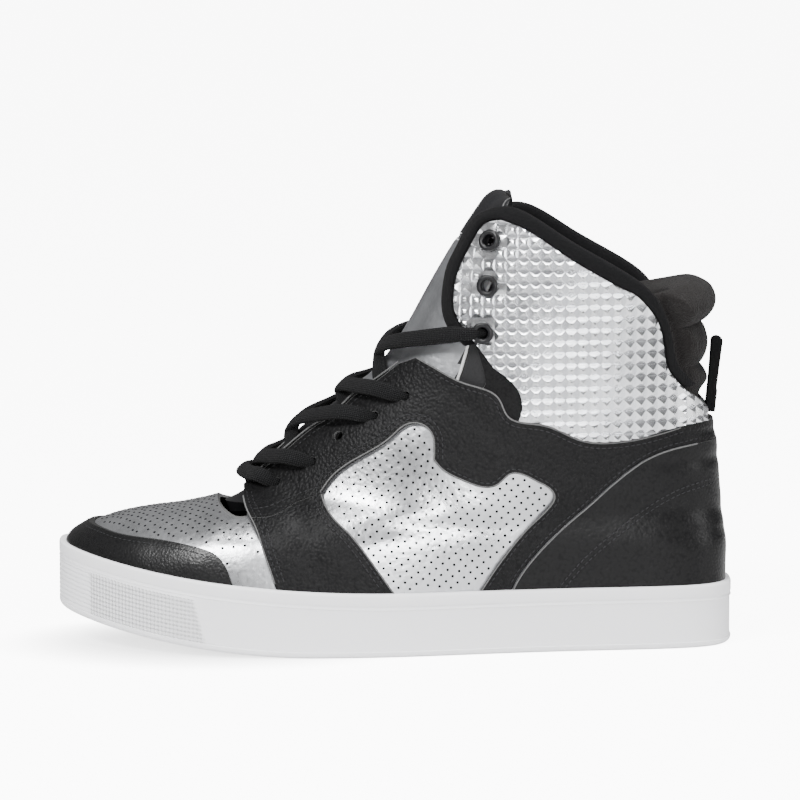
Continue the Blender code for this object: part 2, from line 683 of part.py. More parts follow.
def wing_rear_x(z):
    """Where the wing's binding ends at a height, in metres."""
    edge = np.array([s for s in BINDING_EDGE if s[0] > 0.75]) * (HALF_LENGTH, SHOE_HEIGHT)
    return np.interp(-z, -edge[:, 1], edge[:, 0])


def rise_at(angle, height):
    """Rise at which the form reaches a height, for one angle."""
    rises = np.linspace(0.4, 1, 61)
    return float(np.interp(height, form([angle], rises)[:, 0, 2], rises))


def make_collar(material):
    """Padded collar of soft rolls, tucked inside the wings and proud of them at the heel."""
    reach = math.radians(COLLAR_REACH_DEGREES)
    angles = np.linspace(-reach, reach, COLLAR_COLUMNS)
    heights = np.linspace(COLLAR_FOOT, COLLAR_TOP, COLLAR_ROWS)
    share = np.linspace(0, 1, COLLAR_ROWS)
    rolls = np.abs(np.sin(share * math.pi * COLLAR_ROLLS)) ** ROLL_POWER
    soft_top = COLLAR_SOFT_EDGE + (1 - COLLAR_SOFT_EDGE) * fade(0, 0.12, 1 - share)
    tucked = -UPPER_WALL - PAD_CLEARANCE
    outer = np.zeros((COLLAR_ROWS, COLLAR_COLUMNS, 3))
    inner = np.zeros_like(outer)
    for j, angle in enumerate(angles):
        turned = math.cos(angle / reach * math.pi / 2)
        dip = COLLAR_DIP * (1 - turned)
        rises = [rise_at(angle, h - dip * k) for h, k in zip(heights, share)]
        place = form([angle], rises)[:, 0]
        free = fade(COLLAR_TUCK, COLLAR_FREE, place[:, 0] - wing_rear_x(place[:, 2]))
        out = tucked + free * (COLLAR_BULGE * rolls - tucked - COLLAR_HOLLOW)
        swell = max(0.0, turned) ** 0.5 * (ROLL_HOLLOW + (1 - ROLL_HOLLOW) * rolls) * soft_top
        depth = COLLAR_THIN + (COLLAR_PAD - 2 * COLLAR_THIN) * swell
        for i, rise in enumerate(rises):
            outer[i, j] = form([angle], [rise], out[i])[0, 0]
            inner[i, j] = form([angle], [rise], tucked - depth[i])[0, 0]
    return settle(patch("collar", (outer, inner), material), "collar", material)


def make_tongue(material):
    """Padded tongue under the throat, crowned between its edges and free at the top."""
    rises = np.concatenate([np.linspace(*TONGUE_RISES, TONGUE_ROWS), TONGUE_TIP_RISES])
    across = np.linspace(-1, 1, TONGUE_COLUMNS)
    outer = []
    inner = []
    for rise in rises:
        half = TONGUE_WIDTH / 4 * (1 + fade(*TONGUE_WIDENS, rise))
        angles = math.pi + across * width_angle(rise, half)
        place = form(angles, [rise])[0]
        crown_half = CROWN_WIDTH + CROWN_GAIN * fade(*CROWN_WIDENS, rise)
        off_middle = np.abs(place[:, 1] - swing(place[:, 0]))
        crown = (1 - fade(crown_half - CROWN_EDGE, crown_half, off_middle)) * fade(*CROWN_STARTS, rise)
        under = -UPPER_WALL - PAD_CLEARANCE
        top = under * (1 - crown) - CROWN_SINK * crown
        thick = TONGUE_BASE + (TONGUE_TOP - TONGUE_BASE) * fade(*TONGUE_THICKENS, rise)
        thick = thick * (PAD_EDGE + (1 - PAD_EDGE) * np.cos(across * math.pi / 2) ** 0.7)
        end = 1 - (1 - TIP_SHARE) * fade(*TIP_THINS, rise)
        middle = top - thick / 2
        outer.append(form(angles, [rise], middle + thick / 2 * end)[0])
        inner.append(form(angles, [rise], middle - thick / 2 * end)[0])
    return settle(patch("tongue", (np.array(outer), np.array(inner)), material), "tongue", material)


def width_angle(rise, half):
    """Angle from the front at which a ring is a given half width from the centreline."""
    angles = np.linspace(0.02, 1.4, 60)
    place = form(math.pi - angles, [rise])[0]
    widths = np.abs(place[:, 1] - swing(place[:, 0]))
    return float(np.interp(half, widths, angles))


def make_loop(material):
    """Doubled webbing that stands off the collar and comes down to the cuff."""
    top = LOOP_TOP * SHOE_HEIGHT
    foot = LOOP_FOOT * SHOE_HEIGHT
    back = LOOP_BACK * HALF_LENGTH
    thick = 2 * LOOP_WEB
    spots = [(back - LOOP_LEAN, foot), (back - LOOP_LEAN + thick, foot - LOOP_FOOT_DROP),
             (back + thick * 0.9, top - LOOP_SHOULDER), (back + thick * 0.6, top),
             (back - thick * 0.2, top), (back - thick * 0.4, top - LOOP_SHOULDER)]
    points = [(x, y, z) for y in (-LOOP_WIDTH / 2, LOOP_WIDTH / 2) for x, z in spots]
    count = len(spots)
    faces = [tuple(range(count)), tuple(range(2 * count - 1, count - 1, -1))]
    faces += [(i, (i + 1) % count, count + (i + 1) % count, count + i) for i in range(count)]
    return settle(add_mesh("pull_loop", points, faces), "pull_loop", material)


def make_eyelets(material):
    """Domed metal rings on the wings, one mesh shared by all."""
    steps = HOLE_STEPS
    inner, outer = EYELET_HOLE / 2, EYELET_OUTER / 2
    middle = (inner + outer) / 2
    section = ((inner, 0), (outer, 0), (outer, EYELET_HEIGHT * 0.45), (middle, EYELET_HEIGHT),
               (inner, EYELET_HEIGHT * 0.6))
    points = []
    for i in range(steps):
        turn = 2 * math.pi * i / steps
        points += [(r * math.cos(turn), r * math.sin(turn), h) for r, h in section]
    size = len(section)
    faces = [(i * size + k, i * size + (k + 1) % size, (i + 1) % steps * size + (k + 1) % size,
              (i + 1) % steps * size + k) for i in range(steps) for k in range(size)]
    made = []
    for side in ("lateral", "medial"):
        for number, (x, z) in enumerate(EYELETS, start=1):
            centre, outward, _, _ = surface_spot(x * HALF_LENGTH, z * SHOE_HEIGHT, side,
                                                 WING_PANEL + 3 * CLEARANCE)
            ring_piece = add_mesh(f"eyelet_{side}_{number}", points, faces, material)
            ring_piece.matrix_world = (Matrix.Translation(centre)
                                       @ outward.to_track_quat("Z", "Y").to_matrix().to_4x4())
            made.append(ring_piece)
    return made


def lace_strand(start, end, lifted=0.0, past=0.0):
    """One strand over the throat, from a hole on one side to a hole on the other, a little past both."""
    steps = LACE_STEPS
    share = np.linspace(-past, 1 + past, steps)
    angles = start[0] + (end[0] - start[0]) * share
    rises = start[1] + (end[1] - start[1]) * share
    lift = CLEARANCE + PANEL + PAD_CLEARANCE + LACE_THICKNESS / 2 + lifted
    arch = LACE_ARCH * np.sin(share * math.pi)
    path = np.array([form([a], [r], lift + h)[0, 0] for a, r, h in zip(angles, rises, arch)])
    above = np.array([form([a], [r], lift + h + MM)[0, 0] for a, r, h in zip(angles, rises, arch)])
    points = []
    corners = [(0.5, 0), (0.3, 0.5), (-0.3, 0.5), (-0.5, 0), (-0.3, -0.5), (0.3, -0.5)]
    for i in range(steps):
        along = Vector(path[min(i + 1, steps - 1)] - path[max(i - 1, 0)]).normalized()
        up = Vector(above[i] - path[i]).normalized()
        across = along.cross(up).normalized()
        up = across.cross(along)
        points += [Vector(path[i]) + across * a * LACE_WIDTH + up * b * LACE_THICKNESS for a, b in corners]
    size = len(corners)
    faces = [(i * size + k, i * size + (k + 1) % size, (i + 1) * size + (k + 1) % size, (i + 1) * size + k)
             for i in range(steps - 1) for k in range(size)]
    faces += [tuple(range(size)), tuple(range(len(points) - 1, len(points) - size - 1, -1))]
    return add_mesh("strand", points, faces)


def make_laces(material):
    """Crossings from the lowest punched holes up to the lowest eyelet, joined into one solid."""
    spots = [PUNCHED_HOLES[i] for i in LACED_HOLES]
    holes = {side: [surface_spot(x * HALF_LENGTH, z * SHOE_HEIGHT, side, 0)[2:] for x, z in spots]
             for side in ("lateral", "medial")}
    body = lace_strand(holes["lateral"][0], holes["medial"][0])
    for low in range(len(spots) - 1):
        under = lace_strand(holes["lateral"][low], holes["medial"][low + 1], LACE_LIFTS[0], LACE_PAST[0])
        over = lace_strand(holes["lateral"][low + 1], holes["medial"][low], LACE_LIFTS[1], LACE_PAST[1])
        carve(body, under, "UNION")
        carve(body, over, "UNION")
    return settle(body, "laces", material)


def build():
    wipe_scene()
    rubber = finish("white_rubber", (0.86, 0.86, 0.87), 0.45)
    silver = finish("silver_leather", (0.62, 0.63, 0.65), 0.32, 0.7)
    pebbled = finish("black_pebbled_leather", (0.02, 0.02, 0.022), 0.5)
    smooth = finish("black_smooth_leather", (0.018, 0.018, 0.02), 0.36)
    studs = finish("silver_stud_panel", (0.82, 0.82, 0.84), 0.22, 0.9)
    binding = finish("black_binding", (0.012, 0.012, 0.013), 0.7)
    terry = finish("black_terry", (0.018, 0.013, 0.012), 0.95)
    satin = finish("tongue_satin", (0.03, 0.03, 0.032), 0.4)
    webbing = finish("black_webbing", (0.01, 0.01, 0.011), 0.8)
    metal = finish("black_metal", (0.03, 0.03, 0.032), 0.3, 0.9)
    cord = finish("black_lace", (0.012, 0.012, 0.013), 0.85)
    footbed = finish("footbed_fabric", (0.03, 0.03, 0.032), 0.9)
    make_sole(rubber)
    make_insole(footbed)
    make_upper(silver)
    make_tongue(satin)
    make_quarters(pebbled)
    make_toe_guard(smooth)
    make_counter(pebbled)
    make_wings(studs)
    make_bindings(binding)
    make_collar(terry)
    make_loop(webbing)
    make_eyelets(metal)
    make_laces(cord)


build()
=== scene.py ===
"""Looks of the high-top dance sneaker, a left shoe: dense panels, finishes, stitches, laces, light, camera.

The toe points to -X, the heel to +X and the outer side to -Y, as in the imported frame. All lengths are
metres. The form and the side-view curves repeat the part's own, so that every piece lies where its
solid is.
"""
import logging
import math
from dataclasses import dataclass, field
from enum import Enum
from typing import Iterable, Sequence

import bmesh
import bpy
import numpy as np
from mathutils import Matrix, Vector


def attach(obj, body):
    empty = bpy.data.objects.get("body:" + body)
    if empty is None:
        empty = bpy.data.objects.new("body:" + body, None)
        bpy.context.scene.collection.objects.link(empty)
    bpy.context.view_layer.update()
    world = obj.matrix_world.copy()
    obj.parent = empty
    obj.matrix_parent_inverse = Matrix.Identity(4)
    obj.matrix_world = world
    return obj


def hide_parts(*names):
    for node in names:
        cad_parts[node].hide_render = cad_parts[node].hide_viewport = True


logging.basicConfig(level=logging.INFO, format="%(message)s")
LOG = logging.getLogger("sneaker")
MM = 0.001
Spots = list[tuple[float, float]]
Faces = list[tuple[int, ...]]


class Side(Enum):
    """Half of the shoe, named for the wearer's foot."""

    LATERAL = "lateral"
    MEDIAL = "medial"

    @property
    def angles(self) -> tuple[float, float]:
        """First and last angle of this half, a hair off the heel's middle."""
        start = 0.0 if self is Side.LATERAL else math.pi
        return start + 0.003, start + math.pi - 0.003


@dataclass(frozen=True)
class Sizes:
    """Driving sizes, the same as the part's."""

    length: float = 275 * MM
    ball: float = 102 * MM
    height: float = 186 * MM
    rim_height: float = 25.8 * MM
    rim_wall: float = 3.4 * MM
    rim_round: float = 1.2 * MM
    midsole: float = 12 * MM
    edge_round: float = 2.4 * MM
    lip_depth: float = 5.3 * MM
    lip_groove: float = 0.5 * MM
    spring: float = 14 * MM
    spring_length: float = 105 * MM
    spring_power: float = 1.8
    rise: float = 15 * MM
    rise_length: float = 150 * MM
    rise_power: float = 2.2
    toe_step: float = 0.5 * MM
    gap: float = 0.3 * MM
    seat_gap: float = 0.6 * MM
    pressed_in: float = 0.6 * MM
    pad_gap: float = 1.2 * MM
    wall: float = 2.0 * MM
    panel: float = 1.2 * MM
    counter: float = 1.5 * MM
    guard: float = 1.3 * MM
    wing: float = 1.4 * MM
    hem: float = 2.0 * MM
    insole: float = 4 * MM
    tongue_base: float = 5 * MM
    tongue_top: float = 10.5 * MM
    tongue_width: float = 60 * MM
    collar_pad: float = 13 * MM
    collar_bulge: float = 4.2 * MM
    collar_foot: float = 96.5 * MM
    collar_top: float = 149 * MM
    collar_dip: float = 6 * MM
    eyelet: float = 9 * MM
    eyelet_hole: float = 5 * MM
    punched: float = 4 * MM
    lace_width: float = 6.8 * MM
    lace_thick: float = 3.2 * MM

    @property
    def half_length(self) -> float:
        """Half of the sole's length."""
        return self.length / 2

    @property
    def half_ball(self) -> float:
        """Half of the ball's width."""
        return self.ball / 2


SIZES = Sizes()

SOLE_WIDTHS = dict(toe=0.92, ball=1.06, waist=0.79, heel=0.98, roundness=0.70)
FORM_COLUMNS = ("front_x", "front_z", "back_x", "back_z", "toe", "ball", "waist", "heel", "roundness")
FORM_ROWS = (
    (-0.935, 0.2390, 0.9710, 0.220, 0.80, 0.910, 0.725, 0.900, 0.75),
    (-0.851, 0.2700, 0.9640, 0.269, 0.71, 0.830, 0.716, 0.880, 0.80),
    (-0.669, 0.2980, 0.9585, 0.306, 0.59, 0.775, 0.706, 0.840, 0.85),
    (-0.487, 0.3330, 0.9530, 0.349, 0.57, 0.735, 0.706, 0.820, 0.85),
    (-0.291, 0.4620, 0.9455, 0.425, 0.59, 0.706, 0.706, 0.800, 0.85),
    (-0.066, 0.5990, 0.9310, 0.500, 0.66, 0.706, 0.706, 0.770, 0.82),
    (0.0705, 0.7500, 0.9130, 0.591, 0.76, 0.716, 0.710, 0.740, 0.76),
    (0.160, 0.8660, 0.9130, 0.700, 0.84, 0.725, 0.725, 0.730, 0.72),
    (0.287, 1.0054, 0.9160, 0.817, 0.84, 0.745, 0.745, 0.740, 0.72),
)
SWING_X = (-1.0, -0.76, -0.29, 0.0, 0.29, 1.0)
SWING_Y = (0.16, 0.05, -0.04, -0.08, -0.05, 0.0)

THROAT_EDGE = ((-0.447, 0.349), (-0.417, 0.366), (-0.320, 0.427), (-0.229, 0.483), (-0.172, 0.511),
               (-0.121, 0.547), (-0.065, 0.577), (0.013, 0.623))
TOP_LINE = ((0.065, 0.639), (0.120, 0.619), (0.207, 0.588), (0.307, 0.555), (0.330, 0.520),
            (0.431, 0.4995), (0.549, 0.464), (0.644, 0.459), (0.739, 0.468), (0.833, 0.4855), (1.05, 0.487))
VAMP_THROAT = ((-0.529, 0.330), (-0.520, 0.312), (-0.492, 0.297), (-0.462, 0.290), (-0.435, 0.292))
FRONT_SEAM = ((-0.447, 0.349), (-0.438, 0.306), (-0.417, 0.284), (-0.382, 0.226), (-0.361, 0.184),
              (-0.327, 0.100))
EYESTAY_SEAM = ((-0.425, 0.295), (-0.350, 0.303), (-0.300, 0.322), (-0.250, 0.338), (-0.205, 0.350))
GUARD_EDGE = ((-1.05, 0.262), (-0.878, 0.2565), (-0.822, 0.250), (-0.717, 0.2457), (-0.652, 0.242),
              (-0.573, 0.233), (-0.530, 0.223), (-0.506, 0.2086), (-0.483, 0.177), (-0.460, 0.100))
COUNTER_SEAM = ((0.325, 0.100), (0.356, 0.154), (0.407, 0.207), (0.502, 0.277), (0.596, 0.338),
                (0.692, 0.397), (0.786, 0.433), (0.881, 0.446), (1.05, 0.448))
COUNTER_STITCH = ((0.480, 0.140), (0.549, 0.200), (0.644, 0.260), (0.739, 0.312), (0.833, 0.3495),
                  (0.928, 0.3656))
WINDOW_TOP = ((-0.212, 0.346), (-0.183, 0.376), (-0.084, 0.430), (-0.005, 0.470), (0.039, 0.496),
              (0.063, 0.4995), (0.093, 0.493), (0.113, 0.474), (0.117, 0.452), (0.116, 0.423))
WINDOW_REAR = ((0.116, 0.423), (0.137, 0.405), (0.201, 0.379), (0.260, 0.3645), (0.290, 0.366),
               (0.315, 0.379), (0.340, 0.3935), (0.364, 0.3935), (0.418, 0.375), (0.457, 0.357),
               (0.467, 0.3425), (0.452, 0.320), (0.399, 0.280), (0.310, 0.203), (0.240, 0.125))
WINDOW_FRONT = ((0.010, 0.125), (-0.064, 0.203), (-0.133, 0.265), (-0.202, 0.320), (-0.212, 0.346))
NOTCH = ((0.060, 0.620), (0.131, 0.603), (0.218, 0.578), (0.262, 0.580), (0.262, 0.612), (0.245, 0.655))
WING_FRONT = ((0.237, 0.674), (0.193, 0.717), (0.176, 0.741), (0.172, 0.777), (0.180, 0.820),
              (0.199, 0.862), (0.229, 0.9075), (0.267, 0.944), (0.308, 0.952))
WING_REAR = ((0.308, 0.952), (0.364, 0.938), (0.431, 0.910), (0.507, 0.870), (0.591, 0.830),
             (0.666, 0.796), (0.711, 0.776), (0.745, 0.747), (0.764, 0.727), (0.787, 0.667),
             (0.805, 0.610), (0.824, 0.591), (0.856, 0.565), (0.890, 0.546), (0.925, 0.520))
WING_FOOT = ((0.925, 0.400), (0.510, 0.400), (0.340, 0.470), (0.372, 0.530), (0.360, 0.575), (0.290, 0.622))
BINDING_EDGE = ((0.205, 0.668), (0.153, 0.713), (0.142, 0.7495), (0.146, 0.791), (0.161, 0.845),
                (0.184, 0.882), (0.214, 0.925), (0.244, 0.952), (0.286, 0.972), (0.327, 0.980),
                (0.401, 0.9625), (0.491, 0.920), (0.580, 0.8805), (0.669, 0.839), (0.758, 0.7795),
                (0.789, 0.735), (0.812, 0.672), (0.830, 0.620), (0.848, 0.603), (0.878, 0.578),
                (0.910, 0.560), (0.950, 0.520))
PUNCHED_HOLES = ((-0.344, 0.358), (-0.238, 0.4065), (-0.161, 0.464), (-0.057, 0.510), (0.034, 0.555))
EYELETS = ((0.260, 0.697), (0.274, 0.799), (0.283, 0.8935))
LACED_HOLES = (0, 1, 3, 4)


def spline(knots: Sequence[float], values: np.ndarray, at: np.ndarray) -> np.ndarray:
    """Read a natural cubic spline.

    Args:
        knots: places of the rows.
        values: one row of values for each knot.
        at: places to read.

    Returns:
        One row of values for each place.
    """
    knots = np.asarray(knots, float)
    values = np.asarray(values, float)
    flat = values.reshape(len(knots), -1)
    steps = np.diff(knots)
    bends = spline_bends(knots, flat)
    at = np.atleast_1d(np.asarray(at, float))
    span = np.clip(np.searchsorted(knots, at, side="right") - 1, 0, len(steps) - 1)
    width = steps[span][:, None]
    a = (knots[span + 1][:, None] - at[:, None]) / width
    b = 1 - a
    read = (a * flat[span] + b * flat[span + 1]
            + ((a ** 3 - a) * bends[span] + (b ** 3 - b) * bends[span + 1]) * width ** 2 / 6)
    return read.reshape((len(at),) + values.shape[1:])


def spline_bends(knots: np.ndarray, flat: np.ndarray) -> np.ndarray:
    """Second derivatives of a natural cubic spline at its knots, one row for each."""
    steps = np.diff(knots)
    slopes = np.diff(flat, axis=0) / steps[:, None]
    matrix = np.eye(len(knots))
    right = np.zeros_like(flat)
    for i in range(1, len(knots) - 1):
        matrix[i, i - 1:i + 2] = steps[i - 1], 2 * (steps[i - 1] + steps[i]), steps[i]
        right[i] = 6 * (slopes[i] - slopes[i - 1])
    return np.linalg.solve(matrix, right)


def fade(low: float, high: float, value: np.ndarray) -> np.ndarray:
    """Smooth step from 0 at low to 1 at high."""
    share = np.clip((value - low) / (high - low), 0, 1)
    return share * share * (3 - 2 * share)


def run_lengths(points: np.ndarray) -> np.ndarray:
    """Distance along a run to each of its points."""
    return np.concatenate([[0], np.cumsum(np.linalg.norm(np.diff(points, axis=0), axis=1))])


def squarer(wave: np.ndarray, power: float) -> np.ndarray:
    """Sine or cosine with its size raised to a power, which squares a round section."""
    return np.sign(wave) * np.abs(wave) ** power


def rounded_end(share: np.ndarray, start: float, end: float) -> np.ndarray:
    """Quarter circle from 1 at the start to 0 at the end of a pad's edge."""
    return np.sqrt(np.clip(1 - np.clip((share - start) / (end - start), 0, 1) ** 2, 0, 1))


def tube(first: int, last: int, around: int, rings: int = 0) -> Faces:
    """Faces between rings of points.

    Args:
        first: number of the first ring.
        last: number of the last ring.
        around: points in each ring.
        rings: how many rings there are where the last joins the first again, else 0.

    Returns:
        The faces.
    """
    faces = []
    for i in range(first, last):
        after = (i + 1) % rings if rings else i + 1
        faces += [(i * around + j, i * around + (j + 1) % around, after * around + (j + 1) % around,
                   after * around + j) for j in range(around)]
    return faces


def lid(start: int, around: int) -> Faces:
    """Strips from side to side that close a ring of points."""
    return [(start + j, start + j + 1, start + around - 2 - j, start + around - 1 - j)
            for j in range(around // 2 - 1)]


def shells(rows: int, columns: int, whole: bool = False) -> tuple[Faces, int]:
    """Faces of a closed slab whose outer grid of points comes first and its inner grid after it.

    Args:
        rows: rows of points in a grid.
        columns: points in a row.
        whole: whether each row closes on itself.

    Returns:
        The faces, outer and inner in turn and then the edge's, and how many come before the edge's.
    """
    back = rows * columns
    faces: Faces = []
    for i in range(rows - 1):
        for j in range(columns if whole else columns - 1):
            k = (j + 1) % columns
            quad = (i * columns + j, i * columns + k, (i + 1) * columns + k, (i + 1) * columns + j)
            faces += [quad, tuple(back + q for q in reversed(quad))]
    inside = len(faces)
    low = list(range(columns))
    high = [(rows - 1) * columns + j for j in range(columns)]
    last = [i * columns + columns - 1 for i in range(1, rows)]
    first = [i * columns for i in range(rows - 2, 0, -1)]
    for rim in ([low, high] if whole else [low + last + high[-2::-1] + first]):
        faces += [(a, back + a, back + b, b) for a, b in zip(rim, rim[1:] + rim[:1])]
    return faces, inside


def put(name: str, data: bpy.types.ID) -> bpy.types.Object:
    """New object in the scene."""
    made = bpy.data.objects.new(name, data)
    bpy.context.scene.collection.objects.link(made)
    return made


@dataclass
class Form:
    """The last's outer form, read by an angle round it and a rise from the cup to the top."""

    sizes: Sizes = SIZES
    knots: np.ndarray = field(init=False)

    def __post_init__(self) -> None:
        """Space the rings by their mean gaps at the toe and the heel."""
        ends = self.rings(np.array([0.0, math.pi]))
        gaps = np.linalg.norm(np.diff(ends, axis=0), axis=2).mean(axis=1)
        knots = np.concatenate([[0], np.cumsum(gaps)])
        self.knots = knots / knots[-1]

    def swing(self, x: np.ndarray) -> np.ndarray:
        """Sideways place of the centreline at x."""
        half = self.sizes.half_length
        return spline(SWING_X, SWING_Y, np.clip(np.ravel(x) / half, -1, 1)).reshape(np.shape(x)) \
            * self.sizes.half_ball

    def sole_bottom(self, x: np.ndarray) -> np.ndarray:
        """Height of the sole's underside at x."""
        reach = np.clip(1 - (x + self.sizes.half_length) / self.sizes.spring_length, 0, None)
        return self.sizes.spring * reach ** self.sizes.spring_power

    def rim_top(self, x: np.ndarray) -> np.ndarray:
        """Height of the cupsole's rim at x."""
        reach = np.clip(1 - (x + self.sizes.half_length) / self.sizes.rise_length, 0, None)
        return self.sizes.rim_height + self.sizes.rise * reach ** self.sizes.rise_power

    def half_width(self, widths: dict[str, float], share: np.ndarray, inset: float) -> np.ndarray:
        """Half width of a ring at a share of its length, 0 at the front."""
        ball = self.sizes.half_ball
        toe, ball_w, waist, heel = (widths[k] * ball - inset for k in ("toe", "ball", "waist", "heel"))
        s = 3 * share
        return (-toe * (s - 1) * (s - 2) * (s - 3) / 6 + ball_w * s * (s - 2) * (s - 3) / 2
                - waist * s * (s - 1) * (s - 3) / 2 + heel * s * (s - 1) * (s - 2) / 6)

    def ring(self, angles: np.ndarray, front_x: float, back_x: float, widths: dict[str, float],
             inset: float = 0.0) -> tuple[np.ndarray, np.ndarray, np.ndarray]:
        """Plan of one ring: its x, its y and the share of its length at each angle."""
        share = (1 + np.cos(angles)) / 2
        x = front_x + (back_x - front_x) * share
        side = np.sin(angles)
        y = -np.sign(side) * self.half_width(widths, share, inset) * np.abs(side) ** widths["roundness"]
        return x, y + self.swing(x), share

    def sole_ring(self, angles: np.ndarray, inset: float) -> tuple[np.ndarray, np.ndarray]:
        """Plan of the sole's outline, moved in by an inset."""
        half = self.sizes.half_length
        x, y, _ = self.ring(angles, -half + inset, half - inset, SOLE_WIDTHS, inset)
        return x, y

    def rings(self, angles: np.ndarray) -> np.ndarray:
        """All rings of the form at the given angles, lowest first."""
        size = self.sizes
        x, y = self.sole_ring(angles, size.rim_wall + size.seat_gap)
        found = [np.stack([x, y, self.sole_bottom(x) + size.midsole + size.gap], axis=1),
                 np.stack([x, y, self.rim_top(x) - size.rim_round], axis=1)]
        for values in FORM_ROWS:
            row = dict(zip(FORM_COLUMNS, values))
            x, y, share = self.ring(angles, row["front_x"] * size.half_length,
                                    row["back_x"] * size.half_length, row)
            z = (row["front_z"] + (row["back_z"] - row["front_z"]) * share) * size.height
            found.append(np.stack([x, y, z], axis=1))
        return np.array(found)

    def read(self, angles: np.ndarray, rises: np.ndarray) -> np.ndarray:
        """Points of the form for pairs of an angle and a rise."""
        rings = self.rings(angles)
        count = len(angles)
        bends = spline_bends(self.knots, rings.reshape(len(self.knots), -1)).reshape(rings.shape)
        steps = np.diff(self.knots)
        span = np.clip(np.searchsorted(self.knots, rises, side="right") - 1, 0, len(steps) - 1)
        pick = np.arange(count)
        width = steps[span][:, None]
        a = (self.knots[span + 1] - rises)[:, None] / width
        b = 1 - a
        return (a * rings[span, pick] + b * rings[span + 1, pick]
                + ((a ** 3 - a) * bends[span, pick] + (b ** 3 - b) * bends[span + 1, pick]) * width ** 2 / 6)

    def normals(self, angles: np.ndarray, rises: np.ndarray) -> np.ndarray:
        """Outward directions of the form for pairs of an angle and a rise."""
        tiny = 1e-3
        along = self.read(angles + tiny, rises) - self.read(angles - tiny, rises)
        up = self.read(angles, np.clip(rises + tiny, 0, 1)) - self.read(angles, np.clip(rises - tiny, 0, 1))
        normal = np.cross(up, along)
        return normal / (np.linalg.norm(normal, axis=1, keepdims=True) + 1e-12)

    def points(self, angles: Iterable[float], rises: Iterable[float], offsets: np.ndarray | float = 0.0,
               worn: bool = True) -> np.ndarray:
        """Points moved outward from the form.

        Args:
            angles: angle of each point.
            rises: rise of each point.
            offsets: outward move of each point, or of all.
            worn: whether the leather's soft creases move the point too.

        Returns:
            One row of x, y and z for each point.
        """
        angles = np.atleast_1d(np.asarray(angles, float))
        rises = np.atleast_1d(np.asarray(rises, float))
        here = self.read(angles, rises)
        moves = np.broadcast_to(np.asarray(offsets, float), (len(angles),)).copy()
        if worn:
            moves += Creases.depth(here)
        return here + self.normals(angles, rises) * moves[:, None]

    def grid(self, angles: np.ndarray, rises: np.ndarray, offset: float = 0.0) -> np.ndarray:
        """Grid of points, one row for each rise."""
        a, r = np.meshgrid(angles, rises)
        return self.points(a.ravel(), r.ravel(), offset).reshape(len(rises), len(angles), 3)

    def from_side(self, spots: np.ndarray, side: Side) -> tuple[np.ndarray, np.ndarray]:
        """Angle and rise of side-view points, found by damped Newton steps.

        Args:
            spots: rows of x and z.
            side: which half of the shoe they lie on.

        Returns:
            The angles and the rises.
        """
        spots = np.atleast_2d(np.asarray(spots, float))
        middle = math.pi / 2 if side is Side.LATERAL else 3 * math.pi / 2
        angles = np.full(len(spots), middle)
        rises = np.full(len(spots), 0.5)
        tiny = 1e-4
        low, high = side.angles
        for _ in range(45):
            here = self.read(angles, rises)
            turned = (self.read(angles + tiny, rises) - here) / tiny
            raised = (here - self.read(angles, rises - tiny)) / tiny
            miss = spots - here[:, [0, 2]]
            det = turned[:, 0] * raised[:, 2] - raised[:, 0] * turned[:, 2]
            det = np.where(np.abs(det) < 1e-7, 1e-7, det)
            turn = (miss[:, 0] * raised[:, 2] - raised[:, 0] * miss[:, 1]) / det
            lift = (turned[:, 0] * miss[:, 1] - miss[:, 0] * turned[:, 2]) / det
            angles = np.clip(angles + np.clip(turn, -0.25, 0.25), low, high)
            rises = np.clip(rises + np.clip(lift, -0.08, 0.08), 0.01, 0.998)
        return angles, rises

    def rise_at(self, angles: np.ndarray, heights: np.ndarray) -> np.ndarray:
        """Rises at which the form reaches heights, for pairs of an angle and a height."""
        low = np.zeros(len(angles))
        high = np.ones(len(angles))
        for _ in range(22):
            middle = (low + high) / 2
            under = self.read(angles, middle)[:, 2] < heights
            low = np.where(under, middle, low)
            high = np.where(under, high, middle)
        return (low + high) / 2


